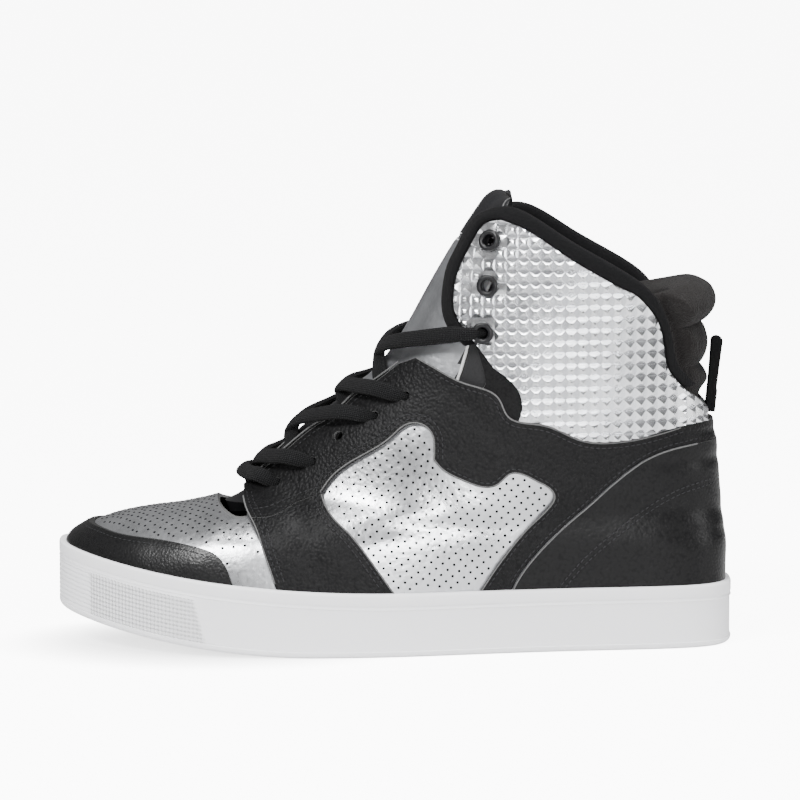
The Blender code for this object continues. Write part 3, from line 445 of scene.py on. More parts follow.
class Creases:
    """Soft troughs and ridges of worn leather, placed in the side view."""

    # x and z of the two ends, half width and depth, all in millimetres, and the side (0 is both).
    ROWS = (
        (-58, 56, -50, 34, 4.0, -0.35, -1), (-49, 60, -41, 36, 5.0, 0.30, -1),
        (-72, 50, -80, 36, 5.0, 0.35, 0), (-88, 53, -96, 40, 6.0, -0.30, 0),
        (-40, 62, -33, 33, 4.0, -0.40, -1), (-30, 50, -22, 34, 4.5, 0.35, -1),
        (2, 78, 22, 58, 7.0, -0.35, 0), (30, 60, 44, 40, 6.0, 0.30, 0),
        (20, 108, 44, 86, 4.0, -0.40, 0), (60, 80, 84, 66, 4.0, -0.30, 0),
        (100, 76, 132, 76, 2.4, -0.45, 0), (96, 88, 132, 87, 1.6, -0.40, 0),
        (106, 58, 134, 54, 3.5, -0.35, 0), (90, 44, 134, 40, 5.0, 0.25, 0),
        (112, 47, 134, 46, 2.5, -0.25, 0), (-58, 52, -48, 30, 5.0, -0.35, 1),
        (-36, 60, -28, 32, 5.0, -0.35, 1), (34, 150, 96, 132, 9.0, -0.30, 0),
    )

    @classmethod
    def depth(cls, points: np.ndarray) -> np.ndarray:
        """Outward move of the leather at points of the form."""
        x, y, z = points[:, 0], points[:, 1], points[:, 2]
        total = np.zeros(len(points))
        for x0, z0, x1, z1, width, depth, half in cls.ROWS:
            a = np.array([x0, z0]) * MM
            b = np.array([x1, z1]) * MM
            run = b - a
            share = np.clip(((x - a[0]) * run[0] + (z - a[1]) * run[1]) / (run @ run), 0, 1)
            off = np.hypot(x - a[0] - share * run[0], z - a[1] - share * run[1])
            reach = np.exp(-(off / (width * MM)) ** 2) * depth * MM
            if half:
                reach = reach * fade(-2 * MM, 6 * MM, y * half)
            total += reach
        low_edge = fade(28 * MM, 36 * MM, z)
        return total * low_edge


FORM = Form()


def scaled(points: Sequence[tuple[float, float]]) -> np.ndarray:
    """Side-view shares as x and z in metres."""
    return np.array(points, float) * (SIZES.half_length, SIZES.height)


def curve(points: Sequence[tuple[float, float]], step: float = 1.2 * MM) -> Spots:
    """Smooth run through side-view shares, with a point about every step."""
    spots = scaled(points)
    lengths = run_lengths(spots)
    count = max(2, int(round(lengths[-1] / step)) + 1)
    return [tuple(p) for p in spline(lengths, spots, np.linspace(0, lengths[-1], count))]


def outline(*runs: Iterable[tuple[float, float]]) -> Spots:
    """One closed outline from runs of points, without doubled corners."""
    joined: Spots = []
    for run in runs:
        for spot in run:
            if not joined or math.dist(joined[-1], spot) > 0.15 * MM:
                joined.append((float(spot[0]), float(spot[1])))
    if math.dist(joined[0], joined[-1]) < 0.15 * MM:
        joined.pop()
    return joined


def beside(spots: Sequence[tuple[float, float]], distance: float) -> Spots:
    """Open run moved to the left of its direction by a distance."""
    line = np.array(spots)
    along = np.vstack([line[1:], line[-1:]]) - np.vstack([line[:1], line[:-1]])
    along /= np.linalg.norm(along, axis=1, keepdims=True) + 1e-12
    left = np.stack([-along[:, 1], along[:, 0]], axis=1)
    return [tuple(p) for p in line + left * distance]


def above_rim(spots: Spots, lift: float = 0.0) -> Spots:
    """The points of a run that lie above the cupsole's rim."""
    return [s for s in spots if s[1] > float(FORM.rim_top(s[0])) + SIZES.gap + lift]


def leaned(spots: Spots, side: Side) -> Spots:
    """A wing's outline with its soft top let down, further on the inner side."""
    line = np.array(spots)
    lean = (0.3, -2.2) if side is Side.LATERAL else (5.0, -5.5)
    share = fade(136 * MM, 170 * MM, line[:, 1])
    moved = line + share[:, None] * np.array([lean]) * MM
    return [tuple(p) for p in moved]


def rim_line(first: float, last: float) -> Spots:
    """Run along the rim's top and a little under it, where the leather meets the rubber."""
    xs = np.linspace(first, last, max(2, int(abs(last - first) / (3 * MM)) + 1))
    return [(float(x), float(FORM.rim_top(x)) - SIZES.pressed_in) for x in xs]


class Tone:
    """A shader socket that takes part in Python arithmetic."""

    def __init__(self, shade: "Shade", socket: bpy.types.NodeSocket) -> None:
        """Keep the socket and the material it belongs to."""
        self.shade = shade
        self.socket = socket

    def _math(self, operation: str, *values: "Tone | float") -> "Tone":
        """Result of one Math node."""
        node = self.shade.node("ShaderNodeMath", {"operation": operation}, dict(enumerate(values)))
        return Tone(self.shade, node.outputs[0])

    def __add__(self, other: "Tone | float") -> "Tone":
        """Sum."""
        return self._math("ADD", self, other)

    def __mul__(self, other: "Tone | float") -> "Tone":
        """Product."""
        return self._math("MULTIPLY", self, other)

    def __sub__(self, other: "Tone | float") -> "Tone":
        """Difference."""
        return self._math("SUBTRACT", self, other)

    def __rsub__(self, other: float) -> "Tone":
        """Difference from a number."""
        return self._math("SUBTRACT", other, self)

    __radd__ = __add__
    __rmul__ = __mul__

    def sine(self) -> "Tone":
        """Sine of the value."""
        return self._math("SINE", self)

    def step(self, low: float, high: float) -> "Tone":
        """Smooth step from 0 at low to 1 at high."""
        node = self.shade.node("ShaderNodeMapRange", {"interpolation_type": "SMOOTHSTEP"},
                               {0: self, 1: low, 2: high, 3: 0.0, 4: 1.0})
        return Tone(self.shade, node.outputs[0])


class Shade:
    """Builds one material's nodes."""

    def __init__(self, name: str) -> None:
        """Start a material with a Principled shader."""
        self.material = bpy.data.materials.new(name)
        self.material.use_nodes = True
        self.tree = self.material.node_tree
        self.surface = self.tree.nodes["Principled BSDF"]

    def node(self, kind: str, settings: dict[str, object] | None = None,
             values: dict[int | str, object] | None = None) -> bpy.types.Node:
        """Add a node.

        Args:
            kind: the node's type.
            settings: properties, set first.
            values: values or links for its input sockets.

        Returns:
            The node.
        """
        made = self.tree.nodes.new(kind)
        for key, value in (settings or {}).items():
            setattr(made, key, value)
        for key, value in (values or {}).items():
            if isinstance(value, Tone):
                self.tree.links.new(value.socket, made.inputs[key])
            elif isinstance(value, bpy.types.NodeSocket):
                self.tree.links.new(value, made.inputs[key])
            else:
                made.inputs[key].default_value = value
        return made

    def place(self) -> bpy.types.NodeSocket:
        """Object coordinates."""
        return self.node("ShaderNodeTexCoord").outputs["Object"]

    def uv(self) -> bpy.types.NodeSocket:
        """The piece's own UV map."""
        return self.node("ShaderNodeUVMap", {"uv_map": "UVMap"}).outputs[0]

    def split(self, vector: bpy.types.NodeSocket) -> tuple[Tone, Tone, Tone]:
        """The three parts of a vector."""
        node = self.node("ShaderNodeSeparateXYZ", None, {0: vector})
        return tuple(Tone(self, out) for out in node.outputs)

    def noise(self, scale: float, detail: float = 3.0, vector: bpy.types.NodeSocket | None = None) -> Tone:
        """Noise, with cells about one over the scale wide in metres."""
        node = self.node("ShaderNodeTexNoise", None,
                         {"Vector": vector or self.place(), "Scale": scale, "Detail": detail})
        return Tone(self, node.outputs["Fac"])

    def cells(self, scale: float, vector: bpy.types.NodeSocket | None = None,
              feature: str = "SMOOTH_F1") -> Tone:
        """Distance to the nearest cell's middle, or to its edge."""
        node = self.node("ShaderNodeTexVoronoi", {"feature": feature},
                         {"Vector": vector or self.place(), "Scale": scale})
        return Tone(self, node.outputs["Distance"])

    def blend(self, share: Tone, first: Sequence[float], second: Sequence[float]) -> Tone:
        """Colour between two, by a share."""
        node = self.node("ShaderNodeMix", {"data_type": "RGBA"}, {0: share})
        node.inputs[6].default_value = (*first, 1)
        node.inputs[7].default_value = (*second, 1)
        return Tone(self, node.outputs[2])

    def set(self, **values: "Tone | float | Sequence[float]") -> None:
        """Set or link the surface's sockets, with underscores for spaces."""
        for key, value in values.items():
            socket = self.surface.inputs[key.replace("_", " ").title().replace("Ior", "IOR")]
            if isinstance(value, Tone):
                self.tree.links.new(value.socket, socket)
            elif isinstance(value, (int, float)):
                socket.default_value = value
            else:
                socket.default_value = (*value, 1) if len(value) == 3 else value

    def bump(self, height: Tone, depth: float, strength: float = 1.0) -> None:
        """Drive the normal by a height, whose full range is the given depth."""
        node = self.node("ShaderNodeBump", None, {"Strength": strength, "Distance": depth, "Height": height})
        self.tree.links.new(node.outputs[0], self.surface.inputs["Normal"])


@dataclass(frozen=True)
class Leather:
    """Grained black leather."""

    name: str
    colour: tuple[float, float, float] = (0.0026, 0.0026, 0.0029)
    grain: float = 950.0
    depth: float = 0.42 * MM
    roughness: float = 0.40
    gloss: float = 0.11

    def make(self) -> bpy.types.Material:
        """Material with pebbles, fine pores and a slight change of tone."""
        shade = Shade(self.name)
        warp = shade.noise(70, 2)
        pebbles = shade.cells(self.grain)
        fine = shade.noise(self.grain * 3, 3)
        broad = shade.noise(28, 2)
        height = (1 - pebbles) * 0.8 + fine * 0.2 + warp * 0.12
        lift = tuple(c + 0.006 for c in self.colour)
        shade.set(base_color=shade.blend(pebbles.step(0.35, 0.75) * 0.55 + broad * 0.25, lift, self.colour),
                  roughness=fine * 0.14 + broad * 0.12 + (self.roughness - 0.13),
                  specular_ior_level=self.gloss)
        shade.bump(height, self.depth)
        return shade.material


@dataclass(frozen=True)
class Silver:
    """Metallic silver leather, smooth or crinkled."""

    name: str
    colour: tuple[float, float, float] = (0.80, 0.81, 0.83)
    roughness: float = 0.30
    metallic: float = 0.92
    depth: float = 0.25 * MM

    def make(self) -> bpy.types.Material:
        """Material with a fine crinkle and cloudy gloss."""
        shade = Shade(self.name)
        crinkle = shade.noise(420, 4)
        cells = shade.cells(520)
        broad = shade.noise(36, 3)
        shade.set(base_color=shade.blend(broad.step(0.35, 0.7), tuple(c * 0.82 for c in self.colour),
                                         self.colour),
                  metallic=self.metallic, roughness=crinkle * 0.16 + broad * 0.1 + (self.roughness - 0.13))
        shade.bump(crinkle * 0.6 + cells * 0.4, self.depth, 0.7)
        return shade.material


@dataclass(frozen=True)
class Cloth:
    """Woven, knitted or napped cloth, patterned in its own UV map or in the piece's coordinates."""

    name: str
    colour: tuple[float, float, float]
    pitch: float = 0.9 * MM
    depth: float = 0.3 * MM
    nap: float = 0.0
    own_map: bool = False
    roughness: float = 0.85
    lift: float = 0.010

    def make(self) -> bpy.types.Material:
        """Material with a two-way weave, or with a soft nap where one is given."""
        shade = Shade(self.name)
        where = shade.uv() if self.own_map else shade.place()
        u, v, w = shade.split(where)
        turn = 2 * math.pi / self.pitch
        if self.own_map:
            weave = ((u + v) * turn).sine() * ((u - v) * turn).sine()
        else:
            weave = ((u + w) * turn).sine() * ((w - u + v) * turn).sine()
        fuzz = shade.noise(1 / self.pitch * 1.3, 4, where)
        height = weave * (0.5 * (1 - self.nap)) + fuzz * (0.4 + self.nap)
        brighter = tuple(c + self.lift for c in self.colour)
        shade.set(base_color=shade.blend(height.step(0.1, 0.9), self.colour, brighter),
                  roughness=fuzz * 0.1 + (self.roughness - 0.05), specular_ior_level=0.12,
                  sheen_weight=0.06 if self.nap else 0.02, sheen_roughness=0.5)
        shade.bump(height, self.depth)
        return shade.material


@dataclass(frozen=True)
class Plain:
    """Thread, raw edge, metal or piping: one colour with a little noise."""

    name: str
    colour: tuple[float, float, float]
    roughness: float = 0.6
    metallic: float = 0.0
    scale: float = 900.0
    depth: float = 0.08 * MM
    gloss: float = 0.3

    def make(self) -> bpy.types.Material:
        """Material with small changes of tone and gloss."""
        shade = Shade(self.name)
        noise = shade.noise(self.scale, 3)
        darker = tuple(c * 0.8 for c in self.colour)
        shade.set(base_color=shade.blend(noise.step(0.3, 0.7), darker, self.colour), metallic=self.metallic,
                  roughness=noise * 0.12 + (self.roughness - 0.06), specular_ior_level=self.gloss)
        shade.bump(noise, self.depth)
        return shade.material


@dataclass(frozen=True)
class Rubber:
    """White cupsole rubber with its knurled toe field and a tread underneath."""

    name: str = "cupsole_rubber"
    colour: tuple[float, float, float] = (0.93, 0.93, 0.95)
    knurl: float = 1.7 * MM
    field_front: float = -124 * MM
    field_back: float = -76.5 * MM
    field_slant: float = 0.28
    field_low: float = 2.5 * MM
    field_high: float = 19.4 * MM
    tread_pitch: float = 7 * MM
    relief: float = 0.9 * MM

    def make(self) -> bpy.types.Material:
        """Material whose toe field follows the wall's own map: x along it, y up it."""
        shade = Shade(self.name)
        along, up, _ = shade.split(shade.uv())
        x, y, z = shade.split(shade.place())
        turn = math.pi / self.knurl
        diamonds = ((along + up) * turn).sine() * ((along - up) * turn).sine()
        behind = (x + up * self.field_slant).step(self.field_back, self.field_back + 2 * MM)
        toe = (1 - behind) * x.step(self.field_front, self.field_front + 1.5 * MM)
        band = up.step(self.field_low, self.field_low + 0.7 * MM) \
            * (1 - up.step(self.field_high, self.field_high + 0.6 * MM))
        under = (0.6 * MM - z).step(0.0, 0.2 * MM)
        tread = ((x + (y * 220).sine() * (3 * MM)) * (2 * math.pi / self.tread_pitch)).sine().step(0.2, 0.6)
        grain = shade.noise(260, 3)
        dirt = shade.noise(34, 4).step(0.62, 0.85)
        height = diamonds * toe * band + tread * under * 0.8 + grain * 0.04
        shade.set(base_color=shade.blend(dirt * 0.22, self.colour, (0.80, 0.79, 0.78)),
                  roughness=grain * 0.15 + 0.38, specular_ior_level=0.4)
        shade.bump(height, self.relief, 0.8)
        return shade.material


class Finish(Enum):
    """Finishes of the shoe, each with the record's slot that it belongs to."""

    PEBBLED = (Leather("pebbled_black_leather"), "pebbled_leather")
    SMOOTH = (Leather("smooth_black_leather", grain=1100, depth=0.10 * MM, roughness=0.30, gloss=0.35),
              "smooth_leather")
    COUNTER = (Leather("heel_leather", grain=900, depth=0.16 * MM, roughness=0.36, gloss=0.15),
               "pebbled_leather")
    SILVER = (Silver("silver_leather", colour=(0.66, 0.67, 0.69)), "silver_leather")
    STUD = (Silver("silver_studs", colour=(0.88, 0.89, 0.91), roughness=0.20, metallic=0.95,
                   depth=0.05 * MM), "stud_panel")
    LINING = (Cloth("black_lining", (0.005, 0.005, 0.0055), pitch=1.1 * MM), "footbed_fabric")
    FOOTBED = (Cloth("footbed_cloth", (0.008, 0.008, 0.009), pitch=1.3 * MM), "footbed_fabric")
    GUSSET = (Leather("gusset_leather", grain=1100, depth=0.06 * MM, roughness=0.5, gloss=0.08),
              "silver_leather")
    BINDING = (Cloth("binding_cloth", (0.004, 0.004, 0.0045), pitch=0.8 * MM, depth=0.2 * MM), "binding")
    TERRY = (Cloth("terry_cloth", (0.006, 0.0045, 0.004), pitch=0.8 * MM, depth=0.8 * MM, nap=0.6,
                   lift=0.016), "terry")
    SATIN = (Leather("tongue_satin", colour=(0.008, 0.008, 0.009), grain=1300, depth=0.04 * MM,
                     roughness=0.34, gloss=0.4), "tongue_satin")
    TONGUE_SILVER = (Silver("tongue_silver", colour=(0.50, 0.51, 0.53), roughness=0.36), "tongue_satin")
    WEBBING = (Cloth("loop_webbing", (0.004, 0.004, 0.0045), pitch=1.2 * MM, own_map=True), "webbing")
    LACE = (Cloth("braided_lace", (0.004, 0.004, 0.0045), pitch=1.5 * MM, depth=0.45 * MM, own_map=True,
                  lift=0.014), "lace_fabric")
    METAL = (Plain("black_eyelet_metal", (0.006, 0.006, 0.007), 0.36, 0.0, gloss=0.3), "black_metal")
    RAW_EDGE = (Plain("raw_leather_edge", (0.13, 0.13, 0.13), 0.8, gloss=0.1), "pebbled_leather")
    DARK_EDGE = (Plain("dark_leather_edge", (0.02, 0.02, 0.02), 0.8), "pebbled_leather")
    THREAD = (Plain("black_thread", (0.016, 0.016, 0.018), 0.6), "pebbled_leather")
    WHITE_THREAD = (Plain("white_thread", (0.75, 0.75, 0.75), 0.6), "tongue_satin")
    HOLE = (Plain("perforation_dark", (0.008, 0.008, 0.009), 0.8, gloss=0.05), "silver_leather")
    RUBBER = (Rubber(), "white_rubber")

    @property
    def slot(self) -> str:
        """The record's material slot."""
        return self.value[1]


class Workshop:
    """Makes meshes, cuts them and hands them to the frame."""

    def __init__(self) -> None:
        """Start with no materials made."""
        self.made: dict[Finish, bpy.types.Material] = {}

    def material(self, finish: Finish) -> bpy.types.Material:
        """The finish's material, made once."""
        if finish not in self.made:
            self.made[finish] = finish.value[0].make()
        return self.made[finish]

    def mesh(self, name: str, points: np.ndarray, faces: list[tuple[int, ...]],
             finishes: Sequence[Finish] = (), kinds: Sequence[int] | None = None,
             uvs: np.ndarray | None = None) -> bpy.types.Object:
        """Make an object from points and faces.

        Args:
            name: the object's name.
            points: rows of x, y and z.
            faces: corner numbers of each face.
            finishes: material of each slot.
            kinds: slot of each face.
            uvs: map place of each point.

        Returns:
            The object, in the scene.
        """
        mesh = bpy.data.meshes.new(name)
        mesh.from_pydata([tuple(p) for p in points], [], faces)
        for finish in finishes:
            mesh.materials.append(self.material(finish))
        if kinds is not None:
            mesh.polygons.foreach_set("material_index", kinds)
        if uvs is not None:
            layer = mesh.uv_layers.new(name="UVMap")
            corners = np.zeros(len(mesh.loops), dtype=np.int32)
            mesh.loops.foreach_get("vertex_index", corners)
            layer.data.foreach_set("uv", np.asarray(uvs, float)[corners].ravel())
        work = bmesh.new()
        work.from_mesh(mesh)
        bmesh.ops.recalc_face_normals(work, faces=work.faces)
        work.to_mesh(mesh)
        work.free()
        mesh.shade_smooth()
        return put(name, mesh)

    def slab(self, name: str, span: tuple[float, float], rises: tuple[float, float], inner: float,
             outer: float, finishes: Sequence[Finish], cells: tuple[int, int],
             whole: bool = False) -> bpy.types.Object:
        """Closed slab of the form between two offsets.

        Args:
            name: the object's name.
            span: first and last angle.
            rises: lowest and highest rise.
            inner: offset of the inner face.
            outer: offset of the outer face.
            finishes: outer, inner and edge finishes.
            cells: steps round and up.
            whole: whether the slab closes round the form.

        Returns:
            The slab.
        """
        around, up = cells
        angles = (np.arange(around) + 0.5) * 2 * math.pi / around if whole \
            else np.linspace(*span, around)
        levels = np.linspace(*rises, up)
        points = np.concatenate([FORM.grid(angles, levels, offset).reshape(-1, 3)
                                 for offset in (outer, inner)])
        faces, inside = shells(up, around, whole)
        kinds = [0, 1] * (inside // 2) + [2] * (len(faces) - inside)
        return self.mesh(name, points, faces, finishes, kinds)

    def prism(self, spots: Spots, finish: Finish, side: Side | None = None,
              apart: float = 0.15 * MM) -> bpy.types.Object:
        """Cutter with a side-view outline, whose walls carry the cut edge's finish."""
        low = apart if side is Side.MEDIAL else -0.15
        high = -apart if side is Side.LATERAL else 0.15
        count = len(spots)
        points = [(x, low, z) for x, z in spots] + [(x, high, z) for x, z in spots]
        faces = [tuple(range(count)), tuple(range(2 * count - 1, count - 1, -1))]
        faces += [(i, (i + 1) % count, count + (i + 1) % count, count + i) for i in range(count)]
        return self.mesh("cutter", np.array(points), faces, [finish], [0] * len(faces))

    def drills(self, spots: Sequence[tuple[float, float]], sides: Sequence[Side], diameter: float,
               finish: Finish) -> bpy.types.Object:
        """One cutter with a round bar square to the form at each spot."""
        work = bmesh.new()
        for side in sides:
            angles, rises = FORM.from_side(scaled(spots), side)
            middles = FORM.points(angles, rises)
            for middle, outward in zip(middles, FORM.normals(angles, rises)):
                turn = Vector(outward).to_track_quat("Z", "Y").to_matrix().to_4x4()
                bmesh.ops.create_cone(work, cap_ends=True, segments=24, radius1=diameter / 2,
                                      radius2=diameter / 2, depth=12 * MM,
                                      matrix=Matrix.Translation(Vector(middle)) @ turn)
        mesh = bpy.data.meshes.new("drills")
        work.to_mesh(mesh)
        work.free()
        mesh.materials.append(self.material(finish))
        return put("drills", mesh)

    def carve(self, body: bpy.types.Object, cutter: bpy.types.Object, operation: str) -> None:
        """Apply one Boolean with a cutter and remove the cutter."""
        change = body.modifiers.new("carve", "BOOLEAN")
        change.object = cutter
        change.operation = operation
        change.solver = "EXACT"
        change.material_mode = "TRANSFER"
        self.apply(body)
        bpy.data.objects.remove(cutter, do_unlink=True)

    def apply(self, body: bpy.types.Object) -> None:
        """Turn what the modifiers make into the object's own mesh."""
        view = bpy.context.evaluated_depsgraph_get()
        result = bpy.data.meshes.new_from_object(body.evaluated_get(view), depsgraph=view)
        body.modifiers.clear()
        old = body.data
        body.data = result
        bpy.data.meshes.remove(old)

    def deliver(self, body: bpy.types.Object, name: str, finish: Finish, nodes: Sequence[str] = (),
                sharp: float = 35.0) -> bpy.types.Object:
        """Name a finished piece, give it to the root body and report it."""
        body.name = name
        body.data.name = name
        body.data.shade_smooth()
        body.data.set_sharp_from_angle(angle=math.radians(sharp))
        if nodes:
            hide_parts(*nodes)
        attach(body, "root")
        finish.slot
        LOG.info("%s: %d faces", name, len(body.data.polygons))
        return body


SHOP = Workshop()


class Scatter:
    """Geometry Nodes tree that sets a small shape on every point, sizes, turns and paints it."""

    def __init__(self, name: str, lengths: Sequence[str], sizes: Sequence[str], axis: str) -> None:
        """Build what every such tree has.

        Args:
            name: the tree's name.
            lengths: names of the lengths that it takes.
            sizes: the lengths that size the shape along x, y and z.
            axis: the axis of the shape that follows a direction.
        """
        self.tree = bpy.data.node_groups.new(name, "GeometryNodeTree")
        face = self.tree.interface
        face.new_socket("Geometry", in_out="INPUT", socket_type="NodeSocketGeometry")
        for length in lengths:
            face.new_socket(length, in_out="INPUT", socket_type="NodeSocketFloat")
        face.new_socket("Material", in_out="INPUT", socket_type="NodeSocketMaterial")
        face.new_socket("Geometry", in_out="OUTPUT", socket_type="NodeSocketGeometry")
        self.keys = {item.name: item.identifier for item in face.items_tree
                     if item.item_type == "SOCKET" and item.in_out == "INPUT"}
        self.start = self.node("NodeGroupInput")
        self.align = self.node("FunctionNodeAlignRotationToVector", {"axis": axis})
        self.shape = self.node("GeometryNodeTransform")
        self.place = self.node("GeometryNodeInstanceOnPoints")
        size = self.node("ShaderNodeCombineXYZ")
        real = self.node("GeometryNodeRealizeInstances")
        paint = self.node("GeometryNodeSetMaterial")
        for number, length in enumerate(sizes):
            self.link(self.start, length, size, number)
        for step in ((size, 0, self.shape, "Scale"), (self.shape, 0, self.place, "Instance"),
                     (self.align, 0, self.place, "Rotation"), (self.place, 0, real, 0),
                     (real, 0, paint, "Geometry"), (self.start, "Material", paint, "Material"),
                     (paint, 0, self.node("NodeGroupOutput"), 0)):
            self.link(*step)

    def node(self, kind: str, settings: dict[str, object] | None = None,
             values: dict[str, object] | None = None) -> bpy.types.Node:
        """Add a node with its settings and the values of its input sockets."""
        made = self.tree.nodes.new(kind)
        for key, value in (settings or {}).items():
            setattr(made, key, value)
        for key, value in (values or {}).items():
            made.inputs[key].default_value = value
        return made

    def link(self, source: bpy.types.Node, output: int | str, target: bpy.types.Node,
             socket: int | str) -> None:
        """Join an output of one node to an input of another."""
        self.tree.links.new(source.outputs[output], target.inputs[socket])

    def lay(self, name: str, mesh: bpy.types.Mesh, finish: "Finish", sharp: float,
            lengths: dict[str, float]) -> None:
        """Spread the shape over a mesh's points and deliver the result.

        Args:
            name: the piece's name.
            mesh: the points, and the edges between them where the tree follows rows.
            finish: the shapes' finish.
            sharp: angle in degrees from which edges stay sharp.
            lengths: value of each length that the tree takes.
        """
        body = put(name, mesh)
        change = body.modifiers.new("scatter", "NODES")
        change.node_group = self.tree
        for key, value in {**lengths, "Material": SHOP.material(finish)}.items():
            change[self.keys[key]] = value
        SHOP.apply(body)
        SHOP.deliver(body, name, finish, sharp=sharp)


class Thread(Scatter):
    """Rows of stitches laid on the form."""

    def __init__(self) -> None:
        """Build the node tree once: beads along each row, turned along it."""
        super().__init__("stitch_row", ("Pitch", "Length", "Width"), ("Length", "Width", "Width"), "X")
        to_curve = self.node("GeometryNodeMeshToCurve")
        sample = self.node("GeometryNodeResampleCurve", {"mode": "LENGTH"})
        bead = self.node("GeometryNodeMeshUVSphere", None, {"Segments": 8, "Rings": 5, "Radius": 0.5})
        for step in ((self.start, "Geometry", to_curve, 0), (to_curve, 0, sample, "Curve"),
                     (self.start, "Pitch", sample, "Length"), (bead, "Mesh", self.shape, "Geometry"),
                     (self.node("GeometryNodeInputTangent"), 0, self.align, "Vector"),
                     (sample, "Curve", self.place, "Points")):
            self.link(*step)

    def sew(self, name: str, rows: Sequence[np.ndarray], finish: Finish, pitch: float = 2.4 * MM,
            length: float = 1.9 * MM, width: float = 0.5 * MM) -> None:
        """Lay stitches along rows of points.

        Args:
            name: the piece's name.
            rows: each row's points.
            finish: the thread's finish.
            pitch: distance from stitch to stitch.
            length: length of one stitch.
            width: thickness of the thread.
        """
        edges = []
        start = 0
        for row in rows:
            edges += [(start + i, start + i + 1) for i in range(len(row) - 1)]
            start += len(row)
        mesh = bpy.data.meshes.new(name)
        mesh.from_pydata([tuple(p) for p in np.concatenate(rows)], edges, [])
        self.lay(name, mesh, finish, 80, {"Pitch": pitch, "Length": length, "Width": width})


def on_form(spots: Sequence[tuple[float, float]], side: Side, offset: float) -> np.ndarray:
    """Side-view run laid on the form at an offset."""
    angles, rises = FORM.from_side(np.array(spots), side)
    return FORM.points(angles, rises, offset)


@dataclass
class Sole:
    """Cupsole with its lip, ribbed toe and cup."""

    sizes: Sizes = SIZES
    around: int = 360
    ribs: int = 10
    rib_depth: float = 0.7 * MM
    seam_depth: float = 0.3 * MM
    seam_x: float = -123.7 * MM
    panel_end: float = -71 * MM
    panel_slant: float = 0.45
    wall_steps: int = 60
    edge_steps: int = 6
    # Inset and height of the groove under the lip, both as shares of its depth.
    groove: tuple[tuple[float, float], ...] = ((0.0, -2.2), (0.25, -1.4), (1.0, -0.6), (1.0, 0.1),
                                               (0.25, 0.9), (0.0, 1.6))

    def profile(self) -> list[tuple[str, float, float]]:
        """Rows of the wall's section: where it is measured from, its inset and its lift."""
        size = self.sizes
        rows = [("bottom", size.edge_round, 0.0)]
        for turn in np.arange(1, self.edge_steps + 1) / self.edge_steps * math.pi / 2:
            rows.append(("bottom", size.edge_round * (1 - math.sin(turn)),
                         size.edge_round * (1 - math.cos(turn))))
        rows += [("wall", 0.0, i / self.wall_steps) for i in range(1, self.wall_steps)]
        for inset, lift in self.groove:
            rows.append(("top", size.lip_groove * inset, -size.lip_depth + lift * size.lip_groove))
        for turn in np.linspace(0, math.pi / 2, self.edge_steps):
            rows.append(("top", size.rim_round * (1 - math.cos(turn)),
                         -size.rim_round * (1 - math.sin(turn))))
        rows += [("top", size.rim_wall - 0.4 * MM, 0.0), ("top", size.rim_wall, -0.5 * MM),
                 ("cup", size.rim_wall, size.midsole)]
        return rows

    def build(self) -> bpy.types.Object:
        """Loft the wall, cap it above and below, and give it its map."""
        size = self.sizes
        angles = (np.arange(self.around) + 0.5) * 2 * math.pi / self.around
        edge_x, edge_y = FORM.sole_ring(angles, 0.0)
        gaps = np.hypot(np.diff(edge_x, append=edge_x[:1]), np.diff(edge_y, append=edge_y[:1]))
        around = np.concatenate([[0], np.cumsum(gaps)[:-1]])
        around = around - around[self.around // 2]
        rings, maps = [], []
        for start, inset, lift in self.profile():
            x, y = FORM.sole_ring(angles, inset)
            low = FORM.sole_bottom(x) + size.edge_round
            high = FORM.rim_top(x) - size.lip_depth + self.groove[0][1] * size.lip_groove
            if start == "wall":
                z = low + (high - low) * lift
                x, y = self.toe_relief(angles, z - FORM.sole_bottom(x), lift)
            else:
                z = (FORM.sole_bottom(x) if start in ("bottom", "cup") else FORM.rim_top(x)) + lift
            rings.append(np.stack([x, y, z], axis=1))
            maps.append(np.stack([around, z - FORM.sole_bottom(x)], axis=1))
        last = len(rings) - 1
        faces = tube(0, last, self.around) + lid(0, self.around) + lid(last * self.around, self.around)
        body = SHOP.mesh("cupsole", np.concatenate(rings), faces, [Finish.RUBBER], None, np.concatenate(maps))
        return SHOP.deliver(body, "cupsole", Finish.RUBBER, ["sole"], 30)

    def toe_relief(self, angles: np.ndarray, height: np.ndarray,
                   share: float) -> tuple[np.ndarray, np.ndarray]:
        """Wall ring with the toe panel's step and the ribs round its tip."""
        size = self.sizes
        x, y = FORM.sole_ring(angles, 0.0)
        tip = 1 - fade(self.seam_x - 0.5 * MM, self.seam_x + 0.5 * MM, x)
        slant = self.panel_end - height * self.panel_slant
        panel = 1 - fade(-0.6 * MM, 0.6 * MM, x - slant)
        ends = fade(0.0, 0.05, np.asarray(share)) * (1 - fade(0.93, 0.99, np.asarray(share)))
        rib = np.abs(math.sin(share * math.pi * self.ribs)) ** 0.6
        seam = np.exp(-((x - self.seam_x) / (0.45 * MM)) ** 2)
        inset = size.toe_step * (1 - panel * ends) \
            + ends * (tip * self.rib_depth * (1 - rib) + seam * self.seam_depth)
        deep_x, deep_y = FORM.sole_ring(angles, MM)
        return x + (deep_x - x) * inset / MM, y + (deep_y - y) * inset / MM


